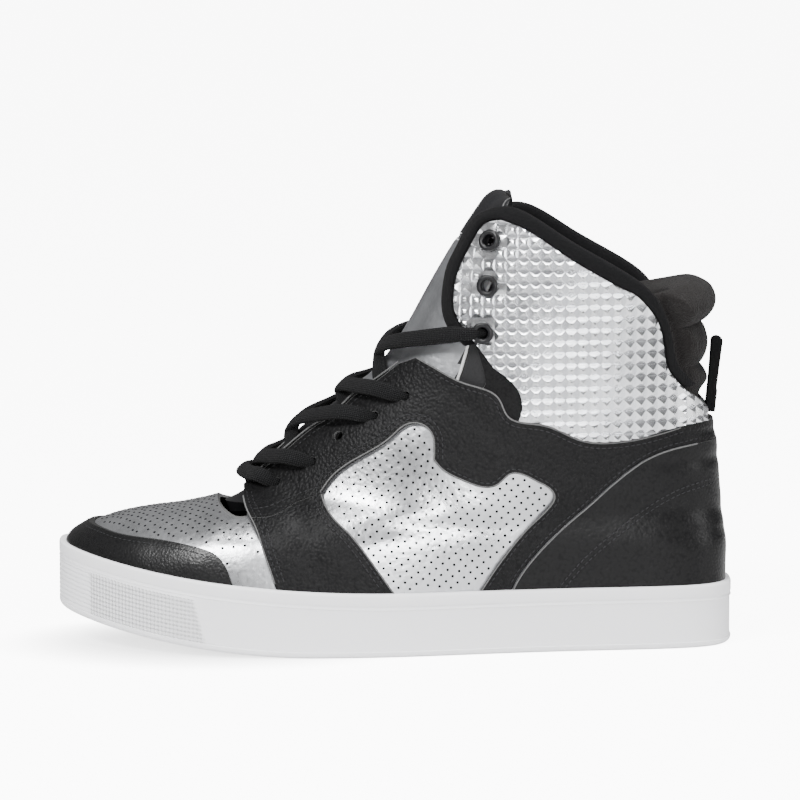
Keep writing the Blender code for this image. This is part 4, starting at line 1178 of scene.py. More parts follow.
@dataclass
class Footbed:
    """Padded insole in the cup."""

    sizes: Sizes = SIZES
    around: int = 160
    # Inset and height of each ring, both as shares of the thickness.
    section: tuple[tuple[float, float], ...] = ((0.3, 0.1), (0.0, 0.3), (0.0, 0.7), (0.15, 0.9), (0.5, 1.0),
                                                (2.2, 0.93), (4.5, 0.86))

    def build(self) -> bpy.types.Object:
        """Loft the footbed with a soft edge and a dished middle."""
        size = self.sizes
        angles = (np.arange(self.around) + 0.5) * 2 * math.pi / self.around
        inset = size.rim_wall + size.seat_gap + size.wall + size.pad_gap
        rings = []
        for edge, lift in self.section:
            x, y = FORM.sole_ring(angles, inset + edge * size.insole)
            z = FORM.sole_bottom(x) + size.midsole + lift * size.insole + size.gap * (lift <= 0.5)
            rings.append(np.stack([x, y, z], axis=1))
        last = len(rings) - 1
        faces = tube(0, last, self.around) + lid(0, self.around) + lid(last * self.around, self.around)
        body = SHOP.mesh("footbed", np.concatenate(rings), faces, [Finish.FOOTBED])
        return SHOP.deliver(body, "footbed", Finish.FOOTBED, ["insole"])


@dataclass
class Upper:
    """Hollow shell: silver leather outside, lining inside, open at throat, collar and foot."""

    sizes: Sizes = SIZES
    # Share of the height and x from which the outside is dark gusset leather, at the throat and the shaft.
    dark_from: tuple[tuple[float, float], ...] = ((0.52, -5 * MM), (0.42, 30 * MM))

    def throat(self, side: Side) -> Spots:
        """Outline of everything cut away above one side's own edge."""
        sky = self.sizes.height * 1.3
        throat = beside(curve(THROAT_EDGE), -self.sizes.hem)[2:]
        last = scaled(WING_REAR[-1:])[0]
        return outline([(scaled(VAMP_THROAT[:1])[0][0], sky)], curve(VAMP_THROAT), throat, curve(NOTCH),
                       leaned(curve(WING_FRONT), side), leaned(curve(WING_REAR), side),
                       [(1.3 * self.sizes.half_length, last[1]), (1.3 * self.sizes.half_length, sky)])

    def build(self) -> bpy.types.Object:
        """Cut the shell and give its shaft the dark gusset leather."""
        body = SHOP.slab("upper", (0, 0), (0.0, 1.0), -self.sizes.wall, 0.0,
                         [Finish.SILVER, Finish.LINING, Finish.DARK_EDGE], (300, 110), whole=True)
        for side in Side:
            SHOP.carve(body, SHOP.prism(self.throat(side), Finish.RAW_EDGE, side, -0.2 * MM), "DIFFERENCE")
        for spots, diameter in ((PUNCHED_HOLES, self.sizes.punched), (EYELETS, self.sizes.eyelet_hole)):
            SHOP.carve(body, SHOP.drills(spots, list(Side), diameter, Finish.DARK_EDGE), "DIFFERENCE")
        body.data.materials.append(SHOP.material(Finish.GUSSET))
        gusset = len(body.data.materials) - 1
        for face in body.data.polygons:
            middle = face.center
            dark = any(middle.z > share * self.sizes.height and middle.x > x for share, x in self.dark_from)
            if face.material_index == 0 and dark:
                face.material_index = gusset
        return SHOP.deliver(body, "upper_shell", Finish.SILVER, ["upper"])


@dataclass
class Panels:
    """Leather overlays: eyestays with quarters, front quarters, toe guard and heel counter."""

    sizes: Sizes = SIZES
    lowest_rise: float = 0.03
    tucked: float = 2 * MM
    past_ends: float = 1.05

    def window(self) -> Spots:
        """Outline of the shaped side window, open at the rim."""
        low = [(scaled(WINDOW_REAR[-1:])[0][0], 0.0), (scaled(WINDOW_FRONT[:1])[0][0], 0.0)]
        return outline(curve(WINDOW_TOP), curve(WINDOW_REAR), low, curve(WINDOW_FRONT))

    def quarter(self) -> Spots:
        """Outline of the eyestay and rear quarter in one piece."""
        counter = above_rim(beside(curve(COUNTER_SEAM), self.sizes.gap))
        return outline(curve(THROAT_EDGE), curve(TOP_LINE), counter[::-1],
                       rim_line(counter[0][0] - MM, scaled(WINDOW_FRONT[:1])[0][0] + self.tucked),
                       curve(EYESTAY_SEAM)[::-1], scaled(FRONT_SEAM[1:2]))

    def front_quarter(self) -> Spots:
        """Outline of the strap of leather between the vamp and the window."""
        seam = beside(curve(EYESTAY_SEAM), -self.sizes.gap)
        front = [s for s in above_rim(curve(FRONT_SEAM[1:])) if s[1] < seam[0][1]]
        return outline(front[::-1], seam,
                       rim_line(scaled(WINDOW_FRONT[:1])[0][0] + self.tucked, front[-1][0] + MM))

    def cut(self, name: str, spots: Spots, thickness: float, finish: Finish, edge: Finish,
            side: Side | None, highest: float, cells: tuple[int, int],
            holes: Sequence[Spots] = ()) -> bpy.types.Object:
        """Cut one overlay from a slab that lies on the upper."""
        span = side.angles if side else (0.0, 0.0)
        body = SHOP.slab(name, span, (self.lowest_rise, highest), self.sizes.gap, self.sizes.gap + thickness,
                         [finish, Finish.DARK_EDGE, edge], cells, whole=side is None)
        SHOP.carve(body, SHOP.prism(spots, edge), "INTERSECT")
        for hole in holes:
            SHOP.carve(body, SHOP.prism(hole, Finish.RAW_EDGE), "DIFFERENCE")
        return body

    def build(self) -> None:
        """Cut and deliver every overlay."""
        size = self.sizes
        for side in Side:
            body = self.cut("quarter", self.quarter(), size.panel, Finish.PEBBLED, Finish.RAW_EDGE, side,
                            0.78, (200, 120), [self.window()])
            SHOP.carve(body, SHOP.drills(PUNCHED_HOLES, [side], size.punched, Finish.RAW_EDGE), "DIFFERENCE")
            SHOP.deliver(body, f"eyestay_quarter_{side.value}", Finish.PEBBLED, [f"quarter_{side.value}"])
            body = self.cut("front", self.front_quarter(), size.panel, Finish.PEBBLED, Finish.RAW_EDGE, side,
                            0.52, (200, 80), [self.window()])
            SHOP.deliver(body, f"front_strap_{side.value}", Finish.PEBBLED, [f"front_quarter_{side.value}"])
        edge = above_rim(curve(GUARD_EDGE))
        spots = outline(edge, rim_line(edge[-1][0] + MM, -self.past_ends * size.half_length))
        body = self.cut("guard", spots, size.guard, Finish.SMOOTH, Finish.DARK_EDGE, None, 0.42, (320, 46))
        SHOP.deliver(body, "toe_rand", Finish.SMOOTH, ["toe_guard"])
        edge = above_rim(curve(COUNTER_SEAM))
        spots = outline(edge[::-1], rim_line(edge[0][0], self.past_ends * size.half_length))
        body = self.cut("counter", spots, size.counter, Finish.COUNTER, Finish.RAW_EDGE, None, 0.62,
                        (320, 76))
        SHOP.deliver(body, "counter_panel", Finish.COUNTER, ["heel_counter"])

    def seams(self, thread: Thread) -> None:
        """Sew the overlays' edges."""
        size = self.sizes
        face = size.gap + size.panel + 0.08 * MM
        for side in Side:
            rows = []
            front = above_rim(curve(FRONT_SEAM), 1 * MM)
            for inset in (2.0 * MM, 4.0 * MM):
                rows.append(on_form(beside(front, inset)[3:], side, face))
            rows.append(on_form(beside(curve(THROAT_EDGE), -2.6 * MM)[4:-3], side, face))
            rows.append(on_form(beside(curve(TOP_LINE[:-1]), -2.2 * MM)[2:], side, face))
            window = outline(curve(WINDOW_FRONT)[8:-4], curve(WINDOW_TOP)[3:-1])
            for inset in (1.6 * MM, 3.4 * MM):
                rows.append(on_form(beside(window, inset), side, face))
            rear = above_rim(curve(WINDOW_REAR)[6:-6], 1 * MM)
            rows.append(on_form(beside(rear, 1.6 * MM), side, face))
            rows.append(on_form(beside(curve(EYESTAY_SEAM)[2:-2], 1.4 * MM), side, face))
            rows.append(on_form(beside(above_rim(curve(COUNTER_SEAM[:-1]), 2 * MM), 2.0 * MM), side, face))
            thread.sew(f"quarter_stitches_{side.value}", rows, Finish.THREAD)
            lip = size.gap + size.panel - 0.15 * MM
            edges = [on_form(beside(front, 0.2 * MM)[4:], side, lip),
                     on_form(beside(curve(TOP_LINE[:-1]), -0.2 * MM)[1:], side, lip),
                     on_form(beside(outline(curve(WINDOW_FRONT)[2:], curve(WINDOW_TOP), above_rim(
                         curve(WINDOW_REAR))), 0.1 * MM), side, lip),
                     on_form(beside(curve(THROAT_EDGE), -0.2 * MM)[4:], side, lip),
                     on_form(beside(curve(VAMP_THROAT), -0.3 * MM)[4:], side, -0.6 * MM),
                     on_form(above_rim(curve(COUNTER_SEAM[:-1])), side, size.gap + size.counter - 0.1 * MM)]
            thread.sew(f"raw_edges_{side.value}", edges, Finish.RAW_EDGE, 0.8 * MM, 1.4 * MM, 0.75 * MM)
            guard = [s for s in above_rim(curve(GUARD_EDGE), 3 * MM) if s[0] > -126 * MM]
            counter = above_rim(curve(COUNTER_STITCH), 1 * MM)
            thread.sew(f"rand_stitches_{side.value}",
                       [on_form(beside(guard, -2.6 * MM), side, size.gap + size.guard + 0.08 * MM),
                        on_form(counter, side, size.gap + size.counter + 0.08 * MM),
                        on_form(beside(counter, -2.0 * MM), side, size.gap + size.counter + 0.08 * MM)],
                       Finish.THREAD)


@dataclass
class Wings:
    """Ankle wings of silver leather embossed with pointed studs, their bindings and eyelets."""

    sizes: Sizes = SIZES
    pitch: float = 4.7 * MM
    stud: float = 1.7 * MM
    stud_sink: float = 0.45 * MM
    flat_round_eyelet: float = 5.6 * MM
    flat_share: float = 0.12
    studs_high: tuple[float, float] = (84 * MM, 184 * MM)
    studs_long: tuple[float, float] = (12 * MM, 150 * MM)
    aligned_x: float = 75 * MM
    binding_end: float = 121 * MM
    binding_roll: float = 0.7 * MM
    roll_power: float = 0.7
    # Inset of each ring of a stud as a share of half its width, and its height as a share of the stud's.
    rings: tuple[tuple[float, float], ...] = ((0.0, 0.0), (0.08, 0.12), (0.70, 0.86), (1.0, 1.0))

    def outline(self, side: Side) -> Spots:
        """One stud panel's outline, with its foot running under the quarter's top line."""
        return outline(leaned(curve(WING_FRONT), side), leaned(curve(WING_REAR), side), curve(WING_FOOT))

    def below(self) -> Spots:
        """Everything under the quarter's top line and a gap."""
        line = beside(curve(TOP_LINE), self.sizes.gap)
        return outline(line, [(1.2 * self.sizes.half_length, 0.0), (line[0][0], 0.0)])

    def lattice(self, side: Side) -> tuple[np.ndarray, np.ndarray]:
        """Angles and rises of the half-pitch lattice of stud corners and middles, row by row."""
        levels = np.arange(*self.studs_high, self.pitch / 2)
        fine = np.linspace(*side.angles, 240)
        start, stop = self.studs_long
        steps = int((stop - start) / (self.pitch / 2)) // 2 * 2
        angles = np.zeros((len(levels), steps))
        rises = np.zeros_like(angles)
        for row, level in enumerate(levels):
            found = FORM.rise_at(fine, np.full(len(fine), level))
            line = FORM.read(fine, found)
            lengths = run_lengths(line)
            sign = 1 if side is Side.MEDIAL else -1
            middle = np.interp(self.aligned_x, line[::sign, 0], lengths[::sign])
            want = middle + sign * (start - self.aligned_x + np.arange(steps) * self.pitch / 2)
            angles[row] = np.interp(want, lengths, fine)
            rises[row] = np.interp(want, lengths, found)
        return angles, rises

    def studs(self, side: Side) -> bpy.types.Object:
        """Closed slab whose outer face is a grid of studs."""
        size = self.sizes
        angles, rises = self.lattice(side)
        rows, columns = (angles.shape[0] - 1) // 2, (angles.shape[1] - 1) // 2
        base = size.gap + size.wing - self.stud_sink
        corner = ((0, 0), (0, 2), (2, 2), (2, 0))
        low, top, inner = (FORM.points(angles.ravel(), rises.ravel(), offset).reshape(*angles.shape, 3)
                           for offset in (base, base + self.stud, size.gap))
        rings = np.array([FORM.points(*(v[[k]] for v in FORM.from_side(scaled(EYELETS), side)), base)[0]
                          for k in range(len(EYELETS))])
        points: list[np.ndarray] = []
        faces: list[tuple[int, ...]] = []
        grid: dict[tuple[int, int, int], int] = {}

        def spot(i: int, j: int, shell: int) -> int:
            """Number of a lattice corner on the outer or the inner face."""
            key = (i, j, shell)
            if key not in grid:
                grid[key] = len(points)
                points.append((low if shell == 0 else inner)[i, j])
            return grid[key]

        for r in range(rows):
            for c in range(columns):
                i, j = 2 * r, 2 * c
                loop = [spot(i + a, j + b, 0) for a, b in corner]
                middle = low[i + 1, j + 1]
                near = np.linalg.norm(rings - middle, axis=1).min() < self.flat_round_eyelet
                rise = (top[i + 1, j + 1] - middle) * (self.flat_share if near else 1.0)
                for share, lift in self.rings[1:-1]:
                    ring = []
                    for a, b in corner:
                        ring.append(len(points))
                        points.append(low[i + a, j + b] * (1 - share) + middle * share + rise * lift)
                    for k in range(4):
                        faces.append((loop[k], loop[(k + 1) % 4], ring[(k + 1) % 4], ring[k]))
                    loop = ring
                points.append(middle + rise)
                faces += [(loop[k], loop[(k + 1) % 4], len(points) - 1) for k in range(4)]
                faces.append(tuple(reversed([spot(i + a, j + b, 1) for a, b in corner])))
        end, edge = 2 * rows, 2 * columns
        rim = ([(0, j) for j in range(0, edge, 2)] + [(i, edge) for i in range(0, end, 2)]
               + [(end, j) for j in range(edge, 0, -2)] + [(i, 0) for i in range(end, 0, -2)])
        for (a, b), (c, d) in zip(rim, rim[1:] + rim[:1]):
            faces.append((spot(a, b, 0), spot(a, b, 1), spot(c, d, 1), spot(c, d, 0)))
        return SHOP.mesh("studs", np.array(points), faces, [Finish.STUD], [0] * len(faces))

    def build(self) -> None:
        """Make, cut and deliver the stud panels."""
        for side in Side:
            body = self.studs(side)
            SHOP.carve(body, SHOP.prism(self.outline(side), Finish.STUD), "INTERSECT")
            SHOP.carve(body, SHOP.prism(self.below(), Finish.STUD), "DIFFERENCE")
            SHOP.carve(body, SHOP.drills(EYELETS, [side], self.sizes.eyelet_hole, Finish.DARK_EDGE),
                       "DIFFERENCE")
            SHOP.deliver(body, f"stud_wing_{side.value}", Finish.STUD, [f"wing_{side.value}"], 12)
            self.binding(side)
        self.eyelets()

    def binding(self, side: Side) -> None:
        """Rolled padded binding between the stud panel's edge and the wing's outer edge."""
        size = self.sizes
        inside = leaned(beside(outline(curve(WING_FRONT), curve(WING_REAR)), size.gap), side)
        outside = leaned(outline(curve(BINDING_EDGE)), side)
        steps, turns = 170, 16
        pair = []
        for run in (inside, outside):
            line = np.array(run)
            lengths = run_lengths(line)
            at = np.linspace(0, lengths[-1], steps)
            pair.append(np.stack([np.interp(at, lengths, line[:, k]) for k in (0, 1)], axis=1))
        rings = []
        low, high = -size.wall, size.gap + size.wing + self.binding_roll
        for k in range(turns):
            turn = 2 * math.pi * k / turns
            share = 0.5 - 0.5 * squarer(math.cos(turn), self.roll_power)
            lift = (low + high) / 2 + (high - low) / 2 * squarer(math.sin(turn), self.roll_power)
            spots = pair[0] * (1 - share) + pair[1] * share
            rings.append(on_form(spots, side, lift))
        points = np.stack(rings, axis=1).reshape(-1, 3)
        keep = (pair[0][:, 0] < self.binding_end) & (pair[1][:, 0] < self.binding_end)
        used = np.nonzero(keep)[0]
        first, last = used.min(), used.max()
        faces = tube(first, last, turns)
        faces += [tuple(first * turns + k for k in range(turns)),
                  tuple(last * turns + k for k in range(turns - 1, -1, -1))]
        body = SHOP.mesh("binding", points, faces, [Finish.BINDING])
        work = bmesh.new()
        work.from_mesh(body.data)
        bmesh.ops.delete(work, geom=[v for v in work.verts if not v.link_faces], context="VERTS")
        work.to_mesh(body.data)
        work.free()
        SHOP.deliver(body, f"rolled_binding_{side.value}", Finish.BINDING, [f"wing_binding_{side.value}"], 60)

    def eyelets(self) -> None:
        """Turned metal rings with a short barrel through the wing."""
        size = self.sizes
        hole, edge = size.eyelet_hole / 2 - 0.25 * MM, size.eyelet / 2
        barrel, deep, seat = hole + 0.25 * MM, -2.4 * MM, -0.2 * MM
        section = [(hole, deep), (barrel, deep), (barrel, seat), (edge, seat)]
        for turn in np.linspace(0, math.pi, 9):
            section.append(((hole + edge) / 2 + (edge - hole) / 2 * math.cos(turn),
                            0.15 * MM + MM * math.sin(turn)))
        steps = 40
        for side in Side:
            angles, rises = FORM.from_side(scaled(EYELETS), side)
            middles = FORM.points(angles, rises, size.gap + size.wing + 0.6 * MM)
            for number, (middle, outward) in enumerate(zip(middles, FORM.normals(angles, rises)), start=1):
                turn = Vector(outward).to_track_quat("Z", "Y").to_matrix()
                points = []
                for i in range(steps):
                    a = 2 * math.pi * i / steps
                    points += [Vector(middle) + turn @ Vector((r * math.cos(a), r * math.sin(a), h))
                               for r, h in section]
                faces = tube(0, steps, len(section), steps)
                body = SHOP.mesh("ring", np.array(points), faces, [Finish.METAL])
                SHOP.deliver(body, f"eyelet_ring_{side.value}_{number}", Finish.METAL,
                             [f"eyelet_{side.value}_{number}"], 50)


@dataclass
class Collar:
    """Padded terry collar of three rolls behind the ankle."""

    sizes: Sizes = SIZES
    rolls: int = 3
    roll_power: float = 0.6
    reach_degrees: float = 62
    columns: int = 121
    rows: int = 120
    top_swell: float = 2.6 * MM
    ripple: float = 0.35 * MM
    cap_from: float = 0.93

    def edge_x(self, z: np.ndarray) -> np.ndarray:
        """Where the wing's binding ends at a height."""
        edge = np.array(curve(BINDING_EDGE[14:]))
        return np.interp(-z, -edge[:, 1], edge[:, 0])

    def build(self) -> None:
        """Sculpt the rolls and close the pad."""
        size = self.sizes
        reach = math.radians(self.reach_degrees)
        columns, rows = self.columns, self.rows
        angles = np.linspace(-reach, reach, columns)
        share = np.linspace(0, 1, rows)
        a, s = np.meshgrid(angles, share)
        flat_a, flat_s = a.ravel(), s.ravel()
        dip = size.collar_dip * (1 - np.cos(flat_a / reach * math.pi / 2))
        heights = size.collar_foot + (size.collar_top - size.collar_foot) * flat_s - dip * flat_s
        rises = FORM.rise_at(flat_a, heights)
        place = FORM.read(flat_a, rises)
        rolls = np.abs(np.sin(flat_s * math.pi * self.rolls)) ** self.roll_power
        tucked = -size.wall - size.pad_gap
        low = 1 - fade(104 * MM, 118 * MM, place[:, 2])
        free = fade((3 - 6 * low) * MM, (9 - 3 * low) * MM, place[:, 0] - self.edge_x(place[:, 2]))
        bulge = size.collar_bulge + self.top_swell * fade(0.60, 0.72, flat_s)
        ripple = self.ripple * np.sin(flat_a * 23 + flat_s * 9) * np.sin(flat_a * 11 + 1.3) * free
        outer = tucked + free * (bulge * rolls - tucked - 2.2 * MM) + ripple
        ends = np.clip(np.cos(flat_a / reach * math.pi / 2), 0, 1) ** 0.5
        soft = 0.35 + 0.65 * fade(0, 0.12, 1 - flat_s)
        inner = tucked - 2 * MM - (size.collar_pad - 4 * MM) * ends * (0.55 + 0.45 * rolls) * soft
        cap = rounded_end(flat_s, self.cap_from, 1.0)
        middle = (outer + inner) / 2
        outer = middle + (outer - middle) * cap
        inner = middle + (inner - middle) * cap
        points = np.concatenate([FORM.points(flat_a, rises, offset, worn=False)
                                 for offset in (outer, inner)])
        faces, _ = shells(rows, columns)
        body = SHOP.mesh("collar", points, faces, [Finish.TERRY])
        SHOP.deliver(body, "terry_collar", Finish.TERRY, ["collar"], 70)


@dataclass
class Tongue:
    """Padded tongue: satin top, silver middle, white piping and black sides."""

    sizes: Sizes = SIZES
    rows: int = 150
    columns: int = 81
    seam_height: float = 166 * MM
    gusset: float = 8 * MM
    silver_starts: float = 104 * MM
    first_rise: float = 0.34
    base_share: float = 0.78
    tip_narrows: float = 0.3
    crown: float = 8 * MM
    crown_widens: float = 1.5 * MM
    seam_depth: float = 0.6 * MM
    seam_half: float = 1.2 * MM

    def widths(self, rises: np.ndarray) -> np.ndarray:
        """Angle from the front to the tongue's edge for each rise."""
        found = []
        for rise in rises:
            share = self.base_share + (1 - self.base_share) * fade(0.36, 0.62, rise)
            half = self.sizes.tongue_width / 2 * share \
                + self.gusset * fade(0.5, 0.62, rise) * (1 - fade(0.8, 0.95, rise))
            half *= 1 - self.tip_narrows * fade(0.92, 1.0, rise) ** 2
            angles = np.linspace(0.02, 1.75, 80)
            place = FORM.read(math.pi - angles, np.full(80, rise))
            found.append(float(np.interp(half, np.abs(place[:, 1] - FORM.swing(place[:, 0])), angles)))
        return np.array(found)

    def build(self, thread: Thread) -> None:
        """Sculpt the pad, colour its fields and sew its seam and piping."""
        size = self.sizes
        rises = np.linspace(self.first_rise, 1.0, self.rows)
        across = np.linspace(-1, 1, self.columns)
        reach = self.widths(rises)
        angles = (math.pi + across[None, :] * reach[:, None]).ravel()
        levels = np.repeat(rises, self.columns)
        a = np.tile(across, self.rows)
        place = FORM.read(angles, levels)
        crown_half = self.crown + self.crown_widens * fade(0.5, 0.75, levels)
        y = np.abs(place[:, 1] - FORM.swing(place[:, 0]))
        crown = 1 - fade(crown_half - 6 * MM, crown_half + 3 * MM, y)
        crown *= fade(0.38, 0.46, levels)
        under = -size.wall - size.pad_gap
        top = under * (1 - crown) - 0.5 * MM * crown
        thick = size.tongue_base + (size.tongue_top - size.tongue_base) * fade(0.4, 0.85, levels)
        thick = thick * (0.45 + 0.55 * np.clip(np.cos(a * math.pi / 2), 0, 1) ** 0.7)
        end = rounded_end(levels, 0.965, 1.001)
        edge = rounded_end(np.abs(a), 0.9, 1.001)
        groove = np.exp(-((place[:, 2] - self.seam_height) / self.seam_half) ** 2) * self.seam_depth
        middle = top - thick / 2
        outer = middle + thick / 2 * end * edge - groove * end
        inner = middle - thick / 2 * end * edge
        points = np.concatenate([FORM.points(angles, levels, offset, worn=False)
                                 for offset in (outer, inner)])
        faces, inside = shells(self.rows, self.columns)
        kinds = []
        for number in range(inside // 2):
            i, j = divmod(number, self.columns - 1)
            black = not self.silver_starts < points[i * self.columns + j, 2] < self.seam_height
            wide = abs(across[j]) > self.silver_share(rises[i])
            kinds += [0 if black or wide else 1, 2]
        kinds += [0] * (len(faces) - inside)
        body = SHOP.mesh("tongue", points, faces, [Finish.SATIN, Finish.TONGUE_SILVER, Finish.LINING], kinds)
        SHOP.deliver(body, "padded_tongue", Finish.SATIN, ["tongue"], 70)
        grid = points[:len(points) // 2].reshape(self.rows, self.columns, 3)
        self.trim(thread, grid, rises, across)

    def silver_share(self, rise: float) -> float:
        """Share of the half width that the silver middle takes."""
        return 0.62 - 0.12 * float(fade(0.5, 0.8, np.asarray(rise)))

    def trim(self, thread: Thread, grid: np.ndarray, rises: np.ndarray, across: np.ndarray) -> None:
        """Piping between silver and black, and the double white seam above it."""
        piping, seam = [], []
        for sign in (-1, 1):
            line = []
            for i, rise in enumerate(rises):
                share = sign * self.silver_share(rise)
                spot = np.array([np.interp(share, across, grid[i, :, k]) for k in range(3)])
                if self.silver_starts < spot[2] < self.seam_height:
                    line.append(spot)
            piping.append(np.array(line))
        for lift in (-1.3 * MM, 1.3 * MM):
            line = []
            for j in range(4, len(across) - 4):
                column = grid[:, j]
                line.append(np.array([np.interp(self.seam_height + lift, column[:, 2], column[:, k])
                                      for k in range(3)]))
            seam.append(np.array(line))
        thread.sew("tongue_piping", piping, Finish.WHITE_THREAD, 0.7 * MM, 1.4 * MM, 1.3 * MM)
        thread.sew("tongue_seam", seam, Finish.WHITE_THREAD, 2.2 * MM, 1.7 * MM, 0.5 * MM)


@dataclass
class Perforations:
    """Punched dots of the silver leather, on the toe and in the side windows, by Geometry Nodes."""

    pitch: float = 3.3 * MM
    dot: float = 0.9 * MM
    turn: float = math.radians(37)
    margin: float = 1.5 * MM
    toe_box: tuple[tuple[float, float], ...] = ((-126 * MM, -46 * MM), (-52 * MM, 46 * MM))
    window_box: tuple[tuple[float, float], ...] = ((-30 * MM, 27 * MM), (66 * MM, 95 * MM))

    def tree(self) -> Scatter:
        """Node tree that puts a small dark disc on each point, square to the point's normal."""
        tree = Scatter("punched_dots", ("Diameter",), ("Diameter",) * 3, "Z")
        facing = tree.node("GeometryNodeInputNamedAttribute", {"data_type": "FLOAT_VECTOR"},
                           {"Name": "facing"})
        disc = tree.node("GeometryNodeMeshCone", None, {"Vertices": 10, "Radius Top": 0.5,
                                                        "Radius Bottom": 0.62, "Depth": 0.12})
        tree.link(disc, "Mesh", tree.shape, "Geometry")
        tree.link(facing, "Attribute", tree.align, "Vector")
        tree.link(tree.start, "Geometry", tree.place, "Points")
        return tree

    def lattice(self, low: tuple[float, float], high: tuple[float, float]) -> np.ndarray:
        """Turned square lattice that covers a box."""
        middle = (np.array(low) + np.array(high)) / 2
        reach = np.linalg.norm(np.array(high) - np.array(low)) / 2
        count = int(reach / self.pitch) + 1
        steps = np.arange(-count, count + 1) * self.pitch
        u, v = np.meshgrid(steps, steps)
        c, s = math.cos(self.turn), math.sin(self.turn)
        spots = np.stack([u * c - v * s, u * s + v * c], axis=2).reshape(-1, 2) + middle
        inside = np.all((spots > low) & (spots < high), axis=1)
        return spots[inside]

    def toe(self) -> tuple[np.ndarray, np.ndarray]:
        """Angles and rises of the toe's dots, laid out in plan."""
        spots = self.lattice(*self.toe_box)
        angles_out, rises_out = [], []
        angles = np.linspace(math.pi - 1.45, math.pi + 1.45, 160)
        rises = np.linspace(0.10, 0.42, 90)
        grid = FORM.grid(angles, rises, 0.0)
        tree_points = grid.reshape(-1, 3)
        for x, y in spots:
            near = np.argmin((tree_points[:, 0] - x) ** 2 + (tree_points[:, 1] - y) ** 2
                             + (tree_points[:, 2] < 0.03) * 1.0)
            i, j = divmod(int(near), len(angles))
            if math.hypot(tree_points[near, 0] - x, tree_points[near, 1] - y) < 0.9 * MM:
                angles_out.append(angles[j])
                rises_out.append(rises[i])
        return np.array(angles_out), np.array(rises_out)

    def shown(self, points: np.ndarray) -> np.ndarray:
        """Which toe dots lie on bare silver leather."""
        x, z = points[:, 0], points[:, 2]
        guard = np.array(curve(GUARD_EDGE))
        seam = np.array(curve(FRONT_SEAM[1:]))
        throat = np.array(curve(VAMP_THROAT))
        order = np.argsort(guard[:, 0])
        over_guard = z > np.interp(x, guard[order, 0], guard[order, 1]) + 1.4 * MM
        before_seam = x < np.interp(-z, -seam[:, 1], seam[:, 0]) - 1.4 * MM
        order = np.argsort(throat[:, 0])
        under_throat = (x < throat[0, 0] - self.margin) \
            | (z < np.interp(x, throat[order, 0], throat[order, 1]) - 1.6 * MM)
        return over_guard & before_seam & under_throat

    def window(self, side: Side, panels: Panels) -> tuple[np.ndarray, np.ndarray]:
        """Angles and rises of the dots in one side window."""
        spots = self.lattice(*self.window_box)
        shape = np.array(panels.window())
        keep = []
        for x, z in spots:
            inside = False
            for (x0, z0), (x1, z1) in zip(shape, np.roll(shape, -1, axis=0)):
                if (z0 > z) != (z1 > z) and x < (x1 - x0) * (z - z0) / (z1 - z0) + x0:
                    inside = not inside
            clear = np.hypot(shape[:, 0] - x, shape[:, 1] - z).min() > self.margin
            if inside and clear and z > float(FORM.rim_top(x)) + 1.2 * MM:
                keep.append((x, z))
        return FORM.from_side(np.array(keep), side)

    def build(self, panels: Panels) -> None:
        """Punch the toe and both windows."""
        tree = self.tree()
        angles, rises = self.toe()
        shown = self.shown(FORM.read(angles, rises))
        fields = {"toe_dots": (angles[shown], rises[shown])}
        for side in Side:
            fields[f"window_dots_{side.value}"] = self.window(side, panels)
        for name, (angles, rises) in fields.items():
            points = FORM.points(angles, rises, 0.01 * MM)
            mesh = bpy.data.meshes.new(name)
            mesh.from_pydata([tuple(p) for p in points], [], [])
            facing = mesh.attributes.new("facing", "FLOAT_VECTOR", "POINT")
            facing.data.foreach_set("vector", FORM.normals(angles, rises).ravel())
            tree.lay(name, mesh, Finish.HOLE, 35, {"Diameter": self.dot})


